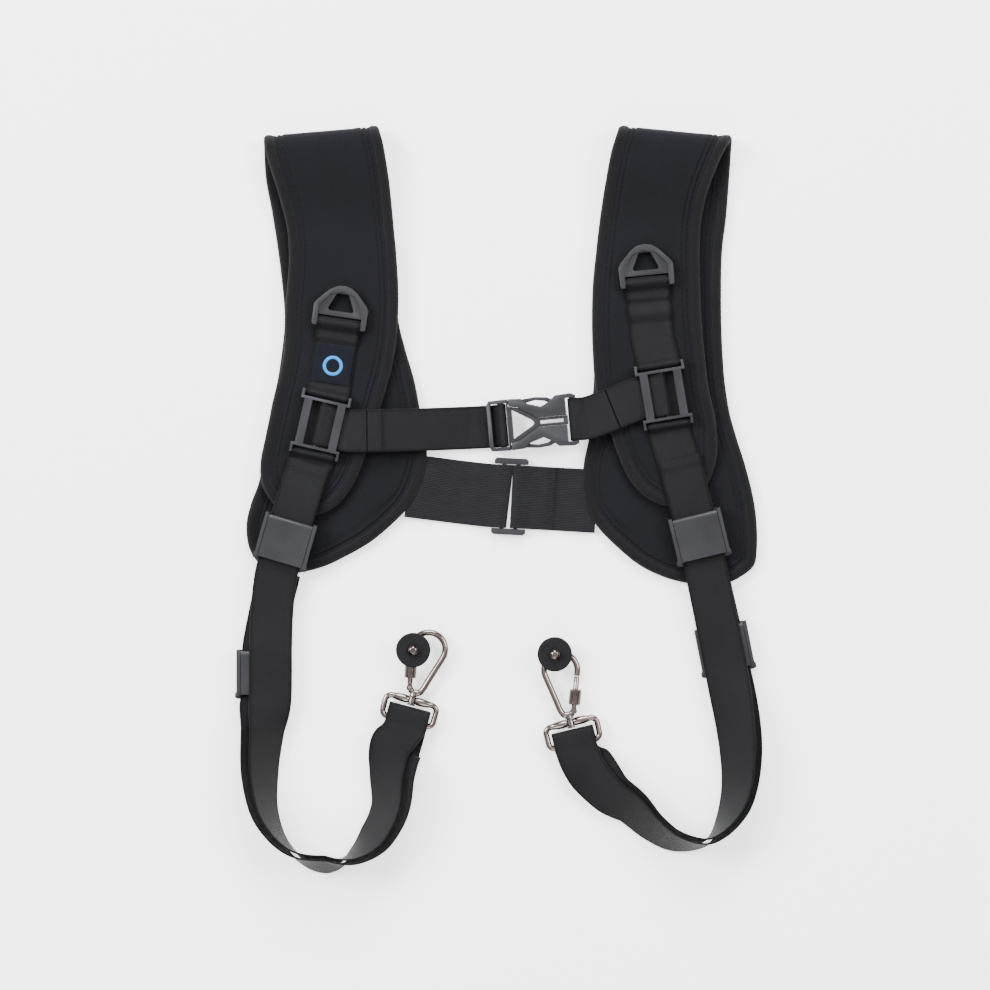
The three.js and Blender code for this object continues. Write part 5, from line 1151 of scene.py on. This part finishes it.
def strap_course(side):
    """The upper layer's rows, and the frame of either layer at a row."""
    data = SIDES[side]
    hand = data["hand"]
    x, y = data["lock"]
    places = [
        (x + across * STRAP_SPREAD, y - down * STRAP_DROP, level * STRAP_WIDTH)
        for across, down, level, *_ in data["course"]
    ]
    extras = [
        (turn, apart * STRAP_WIDTH, shift * STRAP_WIDTH)
        for *_, turn, apart, shift in data["course"]
    ]
    swivel = swivel_place(side)
    heading = np.array(swivel.to_3x3() @ Vector((0, 1, 0)))
    middle = np.array(swivel @ Vector((0, -LOWER_BAR, 0)))
    bar = np.array(swivel.to_3x3() @ Vector((1, 0, 0)))
    for before in STRAP_LEAD:
        places.append(tuple(middle - heading * before + np.array([0, 0, BIGHT * hand])))
        extras.append((0 if hand > 0 else 180, 2 * BIGHT, 0))
    line, twist = line_through(places), line_through(extras)
    last = len(places) - 1

    def at(row, under=False):
        share = min(max(row / last, 0), 1)
        here, extra = line(share), twist(share)
        along = unit(line(min(share + 1e-4, 1)) - line(max(share - 1e-4, 0)))
        above = unit(np.array([0, 0, 1.0]) - along * along[2])
        flat = np.cross(along, above)
        turn = math.radians(extra[0]) * hand
        across = flat * math.cos(turn) + above * math.sin(turn)
        near = min(1.0, max(0.0, (row - last + BAR_ROWS) / (BAR_ROWS - 1)))
        across = unit(across + (hand * bar - across) * near * near * (3 - 2 * near))
        up = unit(np.cross(across, along))
        if under:
            here = here - up * extra[1] + across * extra[2]
        return here, across, up, along

    return at, last, middle, heading


COURSES = {side: strap_course(side) for side in SIDES}


def camera_strap(side):
    at, last, bar_middle, heading = COURSES[side]
    frames = [at(row)[:3] for row in np.linspace(0, last, UPPER_ROWS)]
    _, across, up, _ = at(last)
    middle = bar_middle + heading * BIGHT_REACH
    for angle in np.linspace(0, math.pi, BIGHT_ROWS):
        out = up * math.cos(angle) + heading * math.sin(angle)
        frames.append((middle + out * BIGHT, across, out))
    for row in np.linspace(last, EXIT_ROW, LOWER_ROWS):
        place, sideways, off, _ = at(row, under=True)
        frames.append((place, sideways, -off))
    strip(
        f"{side}_camera_strap", [np.array(column) for column in zip(*frames)],
        hem=CAMERA_STRAP_HEM, seams=(CAMERA_STRAP_SEAM,),
    )


for side in SIDES:
    camera_strap(side)
stitches("strap_stitches", SEAMS)


# Label patch and its ring
def patch_outline():
    flat = PATCH_SIZE / 2 - PATCH_CORNER
    outline = []
    for x, y, start in ((1, 1, 0), (-1, 1, 90), (-1, -1, 180), (1, -1, 270)):
        outline += arc(x * flat, y * flat, PATCH_CORNER, start, start + 90, 6)
    return np.array(outline)


def label_patch(place):
    outline = patch_outline()
    rings = [
        np.column_stack([outline * share, np.full(len(outline), height)])
        for share, height in PATCH_RISE
    ]
    vertices, faces, _ = skin(rings)
    uv = [tuple(vertices[i][:2]) for face in faces for i in face]
    laid, _ = moved((vertices, faces), place)
    name = "label_patch"
    made = piece(name, laid, faces, TWILL, "patch", nodes=[name], uv=uv, sharp=50)
    edge = spaced(outline * (1 - 2 * PATCH_HEM / PATCH_SIZE), 400, closed=True)
    seam = moved((np.column_stack([edge, np.full(len(edge), 0.5)]), []), place)[0]
    above = np.tile([0, 0, 1.0], (len(seam), 1))
    stitches("label_stitches", [(seam, above)], PATCH_STITCH, PATCH_STITCH_GAP)


def label_ring(place):
    """The ring in satin stitch: threads side by side, each across the band."""
    up = np.array([0, 0, 1.0])
    marks = np.linspace(-1, 1, 6)[:, None]
    parts = []
    for angle in np.arange(RING_STITCHES) * 2 * math.pi / RING_STITCHES:
        out = np.array([math.cos(angle), math.sin(angle), 0])
        side = np.array([-out[1], out[0], 0])
        here = np.array([*RING_MIDDLE, 0]) + out * (RING_RADIUS + marks * RING_BAND / 2)
        here = here + up * (0.55 + 0.42 * (1 - marks ** 2))
        rings = here[:, None] + RING_THREAD * np.cos(SIXTHS)[:, None] * side
        parts.append(skin(rings + RING_THREAD * np.sin(SIXTHS)[:, None] * up)[:2])
    vertices, faces = moved(joined(*parts), place)
    piece("label_ring", vertices, faces, BLUE_THREAD, "patch", sharp=80)


PATCH_PLACE = on_front_line(
    "left", PATCH_FROM_RING, WEBBING_LEVEL + STRAP_THICKNESS / 2 + CLEARANCE + 0.5,
)
label_patch(PATCH_PLACE)
label_ring(PATCH_PLACE)


# Moulded pieces, from their solids: the edges rounded as a mould leaves them
def moulded(name, width, grown=0.0):
    source = frame["nodes"][name]
    work = bmesh.new()
    work.from_mesh(source.data)
    bmesh.ops.remove_doubles(work, verts=work.verts, dist=1e-6)
    bmesh.ops.dissolve_limit(
        work, angle_limit=math.radians(1), verts=work.verts, edges=work.edges, delimit=set(),
    )
    work.normal_update()
    for vertex in work.verts:
        vertex.co += vertex.normal * grown * MM
    mesh = bpy.data.meshes.new(name + "_moulded")
    work.to_mesh(mesh)
    work.free()
    mesh.materials.clear()
    mesh.materials.append(ACETAL)
    made = linked(name + "_moulded", mesh)
    bevel = made.modifiers.new("eased_edges", "BEVEL")
    bevel.width = width * MM
    bevel.segments = 3
    bevel.limit_method = "ANGLE"
    bevel.angle_limit = math.radians(MOULD_ANGLE)
    bevel.use_clamp_overlap = True
    bevel.harden_normals = False
    shaped(made, 38)
    declared(made, source["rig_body"], "plastic", [name])


for side in SIDES:
    moulded(f"{side}_d_ring", 0.7)
for side in SIDES:
    moulded(f"{side}_ladder_buckle", 0.5)
moulded("buckle_male", 0.25, 0.12)
moulded("buckle_female", 0.35, 0.12)
moulded("back_slider", 0.7)
for side in SIDES:
    for lock in ("front", "rear"):
        moulded(f"{side}_{lock}_lock_frame", 0.45)
        moulded(f"{side}_{lock}_lock_lever", 0.45)


# Swivel rings, carabiners, discs and screws
def on_arc(angle):
    """A point of the hook's top arc, in the hook's plane."""
    x, y = HOOK_ARC_MIDDLE
    turn = math.radians(angle)
    return np.array([x + HOOK_ARC * math.cos(turn), y + HOOK_ARC * math.sin(turn), 0])


HINGE_POINT = np.array([*HINGE, 0.0])
NOSE_TOP = on_arc(180 + GATE_LEAN)
GATE_LINE = unit(NOSE_TOP - HINGE_POINT)
NOSE_END = NOSE_TOP - GATE_LINE * NOSE_STRAIGHT
GATE_LENGTH = float(np.linalg.norm(NOSE_END - GATE_LINE * (CLEARANCE + 0.1) - HINGE_POINT))


def eased_rod(radius, foot, top, ease=0.3):
    """The profile of a turned rod with eased ends."""
    side = [(radius, foot + ease), (radius, top - ease)]
    return [(radius - ease, foot), *side, (radius - ease, top)]


def swivel_ring(side):
    x, y = SWIVEL_WIDTH / 2 - WIRE - SWIVEL_CORNER, LOWER_BAR - SWIVEL_CORNER
    path = [(start, LOWER_BAR) for start in (-2.2, -6, -10, -13)]
    for middle_x, middle_y, start in ((-x, y, 90), (-x, -y, 180), (x, -y, 270), (x, y, 0)):
        path += arc(middle_x, middle_y, SWIVEL_CORNER, start, start + 90, 12)
    path += [(end, LOWER_BAR) for end in (13, 10, 6, 2.2)]
    wire = tube([(x, y, 0) for x, y in path], WIRE)
    boss = washer(POST + 0.39, BOSS, -BOSS_REACH, BOSS_REACH, ease=0.35)
    parts = [boss] + [
        turned([(radius, along * hand) for radius, along in SPINDLE], axis="X") for hand in (-1, 1)
    ]
    whole = joined(wire, *(moved(part, placed(0, LOWER_BAR)) for part in parts))
    name = f"{side}_swivel_ring"
    steel(name, moved(whole, swivel_place(side)), f"{side}_swivel", [name])


def cut(made, shell):
    """Takes a shell's space out of a piece."""
    mesh = drawn_mesh("cutter", *shell)
    face_outwards(mesh)
    cutter = linked("cutter", mesh)
    slot = made.modifiers.new("slot", "BOOLEAN")
    slot.operation = "DIFFERENCE"
    slot.solver = "EXACT"
    slot.use_self = True
    slot.object = cutter
    shaped(made, 40)
    bpy.data.objects.remove(cutter)


def hook_place(side):
    return swivel_place(side) @ placed(0, LOWER_BAR)


def leaning_place(side):
    """The hook's place, leaning about its foot."""
    leaning = placed(0, HOOK_FOOT, turn=SIDES[side]["lean"])
    return hook_place(side) @ leaning @ placed(0, -HOOK_FOOT)


def mirrored(side):
    """Turned over about its own Y, which puts the gate on the right."""
    return Matrix.Identity(4) if side == "left" else Matrix.Rotation(math.pi, 4, "Y")


def carabiner(side):
    shoulder, spine = np.array([5.2, HOOK_FOOT + 3.4, 0]), on_arc(-SPINE_LEAN)
    low = [
        HINGE_POINT, (-1.8, HOOK_FOOT + 0.4, 0), (0, HOOK_FOOT, 0), (3.2, HOOK_FOOT + 0.5, 0),
        shoulder, *[shoulder * (1 - s) + spine * s for s in (0.25, 0.75)],
    ]
    smooth = line_through([tuple(p) for p in low])
    path = [smooth(i / 70) for i in range(71)]
    path += [on_arc(angle) for angle in range(-SPINE_LEAN, 180 + GATE_LEAN + 1, 5)]
    path.append(NOSE_END)
    at_hinge = placed(*HINGE)
    fork = turned(eased_rod(TONGUE_RADIUS, -HOOK_WIRE, HOOK_WIRE), axis="Z")
    lean = leaning_place(side) @ mirrored(side)
    name, body = f"{side}_carabiner", f"{side}_hook"
    whole = joined(tube(path, HOOK_WIRE), moved(fork, at_hinge))
    made = steel(name, moved(whole, lean), body, [name])
    face = TONGUE / 2 + CLEARANCE
    x, y = HINGE
    cut(made, moved(block(x - 5, x + TONGUE_RADIUS + 0.5, y - 2.8, y + 5, -face, face, 0), lean))
    pin = turned([
        (HINGE_PIN, -HOOK_WIRE + 0.1), (HINGE_PIN, HOOK_WIRE + 0.05), (0.5, HOOK_WIRE + 0.2),
    ], axis="Z", sides=20)
    top, foot = -BOSS_REACH - CLEARANCE, BOSS_REACH + CLEARANCE
    post = turned([
        (1.2, top - POST_HEAD), (POST_HEAD_RADIUS - 0.4, top - POST_HEAD + 0.1),
        (POST_HEAD_RADIUS, top - POST_HEAD + 0.5), (POST_HEAD_RADIUS, top - 0.2),
        (POST_HEAD_RADIUS - 0.2, top), (POST, top), (POST, foot), (POST_HEAD_RADIUS - 0.3, foot),
        (POST_HEAD_RADIUS, foot + 0.4), (POST_HEAD_RADIUS - 0.2, HOOK_FOOT - 0.6),
        (1.8, HOOK_FOOT),
    ])
    loose = joined(moved(pin, lean @ at_hinge), moved(post, hook_place(side)))
    steel(f"{side}_hook_post", loose, body)


def gate_place(side):
    hand = SIDES[side]["hand"]
    lean = math.degrees(math.atan2(-GATE_LINE[0], GATE_LINE[1]))
    return leaning_place(side) @ placed(HINGE[0] * hand, HINGE[1], turn=lean * hand)


def gate(side):
    half, wire, end = TONGUE / 2, GATE_WIRE, GATE_LENGTH
    tongue = washer(HINGE_PIN + CLEARANCE, TONGUE_RADIUS, -half, half, "Z", ease=0.15)
    neck = block(-wire + 0.3, wire - 0.3, 1.5, 4, -half, half, 0.1)
    foot = TONGUE_RADIUS + CLEARANCE + 0.6
    body = turned([
        (1.2, foot), (wire - 0.25, foot + 0.15), (wire, foot + 0.6), (wire, end - 0.5),
        (wire - 0.3, end - 0.1), (1.2, end),
    ])
    name = f"{side}_gate"
    steel(name, moved(joined(tongue, neck, body), gate_place(side)), f"{side}_gate_body", [name])


def lock_sleeve(side):
    """The screw sleeve, knurled along its length."""
    half = SLEEVE_LENGTH / 2
    outer = [(SLEEVE_RADIUS - 0.5, -half), (SLEEVE_RADIUS, -half + 0.5)]
    outer += [(SLEEVE_RADIUS, y) for y in np.linspace(-half + 1.2, half - 1.2, 6)]
    outer += [(SLEEVE_RADIUS, half - 0.5), (SLEEVE_RADIUS - 0.5, half)]
    bore = [(SLEEVE_BORE + 0.2, half), (SLEEVE_BORE, half - 0.2)]
    bore += [(SLEEVE_BORE, -half + 0.2), (SLEEVE_BORE + 0.2, -half)]
    shell = turned(outer + bore, 96, ridge=KNURL_DEPTH, closed=True)
    place = gate_place(side) @ placed(0, SIDES[side]["sleeve"])
    name = f"{side}_lock_sleeve"
    steel(name, moved(shell, place), f"{side}_sleeve", [name], sharp=30)


def disc_place(side):
    x, y = SIDES[side]["disc"]
    return leaning_place(side) @ placed(x * SIDES[side]["hand"], y)


def rubber_disc(side):
    hole, rim, top = SCREW_RADIUS + 0.42, DISC_RADIUS, DISC_THICKNESS
    profile = [
        (hole, 0.3), (hole + 0.3, 0), (rim - 0.8, 0), (rim - 0.2, 0.25), (rim, 0.9),
        (rim, top - 0.9), (rim - 0.25, top - 0.3), (rim - 0.9, top - 0.02), (rim - 1.4, top),
        (9.5, top), (7, top), (5.2, top), (hole + 0.7, top), (hole + 0.25, top - 0.15),
        (hole, top - 0.5),
    ]
    name = f"{side}_rubber_disc"
    place = disc_place(side) @ placed(0, 0, DISC_FOOT)
    shell = moved(turned(profile, 96, "Z", closed=True), place)
    piece(name, *shell, RUBBER, "rubber", f"{side}_hook", nodes=[name], sharp=50)


def camera_screw(side):
    """The screw with its plate under the disc, and the eye that hangs on the hook's arc."""
    foot = PLATE_FOOT + SCREW_PLATE
    end = DISC_FOOT + DISC_THICKNESS + SCREW_ABOVE_DISC
    profile = [(SCREW_RADIUS, PLATE_FOOT)] + eased_rod(SCREW_PLATE_RADIUS, PLATE_FOOT, foot)
    for z in np.arange(foot, end - 1.4, THREAD_PITCH):
        profile += [(SCREW_RADIUS - 0.45, z), (SCREW_RADIUS, z + 0.4), (SCREW_RADIUS, z + 0.65)]
    profile += [
        (SCREW_RADIUS - 0.4, end - 0.55), (SCREW_RADIUS - 0.9, end - 0.1),
        (SCREW_RADIUS - 1.3, end), (1.2, end - 0.05), (0.8, end - 0.5), (0.3, end - 0.6),
    ]
    screw = moved(turned(profile, 48, "Z"), disc_place(side))
    eye = washer(EYE_RADIUS - EYE_WALL, EYE_RADIUS, -EYE_WIDTH / 2, EYE_WIDTH / 2, ease=0.5)
    hand, angle = SIDES[side]["hand"], SIDES[side]["eye"]
    x, y, _ = on_arc(angle)
    eye = moved(eye, leaning_place(side) @ placed(x * hand, y, turn=angle * hand))
    name = f"{side}_camera_screw"
    steel(name, joined(screw, eye), f"{side}_hook", [name], sharp=35)


for side in SIDES:
    swivel_ring(side)
    carabiner(side)
    gate(side)
    lock_sleeve(side)
    rubber_disc(side)
    camera_screw(side)


# Floor, lights and surroundings
def soft_box(name, place, power):
    lamp = bpy.data.lights.new(name, "AREA")
    lamp.shape = "SQUARE"
    lamp.size = LAMP_SIZE
    lamp.energy = power
    made = linked(name, lamp)
    made.location = place
    made.rotation_euler = (Vector() - Vector(place)).to_track_quat("-Z", "Y").to_euler()


def set_floor():
    material, _, shader = finish(
        "pale_floor", 0.9, Specular_IOR_Level=0.1, Emission_Color=(1, 1, 1, 1),
        Emission_Strength=FLOOR_GLOW,
    )
    shader.inputs["Base Color"].default_value = linear("#f7f7f7")
    mesh = bpy.data.meshes.new("floor")
    corners = [(x * FLOOR_HALF, y * FLOOR_HALF, 0) for x, y in ((-1, -1), (1, -1), (1, 1), (-1, 1))]
    mesh.from_pydata(corners, [], [(0, 1, 2, 3)])
    mesh.materials.append(material)
    floor = linked("floor", mesh)
    floor.location = (0, 0, -FLOOR_DROP)


def set_surroundings():
    """A bright studio above, dark from the horizon down."""
    world = bpy.data.worlds.new("soft_surroundings")
    bpy.context.scene.world = world
    world.use_nodes = True
    tree = world.node_tree
    tree.nodes.clear()
    ways = add(tree, "SeparateXYZ", Vector=add(tree, "TexCoord").outputs["Generated"])
    greys = [(place, (grey, grey, grey, 1)) for place, grey in SKY_GREYS]
    colour = stops(add(tree, "ValToRGB", Fac=ways.outputs[2]), *greys)
    background = add(tree, "Background", Color=colour, Strength=SKY_STRENGTH)
    add(tree, "OutputWorld", Surface=background.outputs[0])


set_floor()
soft_box("soft_box_left", (-1.9, 0.9, 2.0), 160)
soft_box("soft_box_right", (1.9, 0.7, 2.2), 80)
soft_box("soft_box_top", (0.1, 2.3, 1.7), 130)
soft_box("soft_box_foot", (0.0, -2.2, 2.0), 35)
set_surroundings()
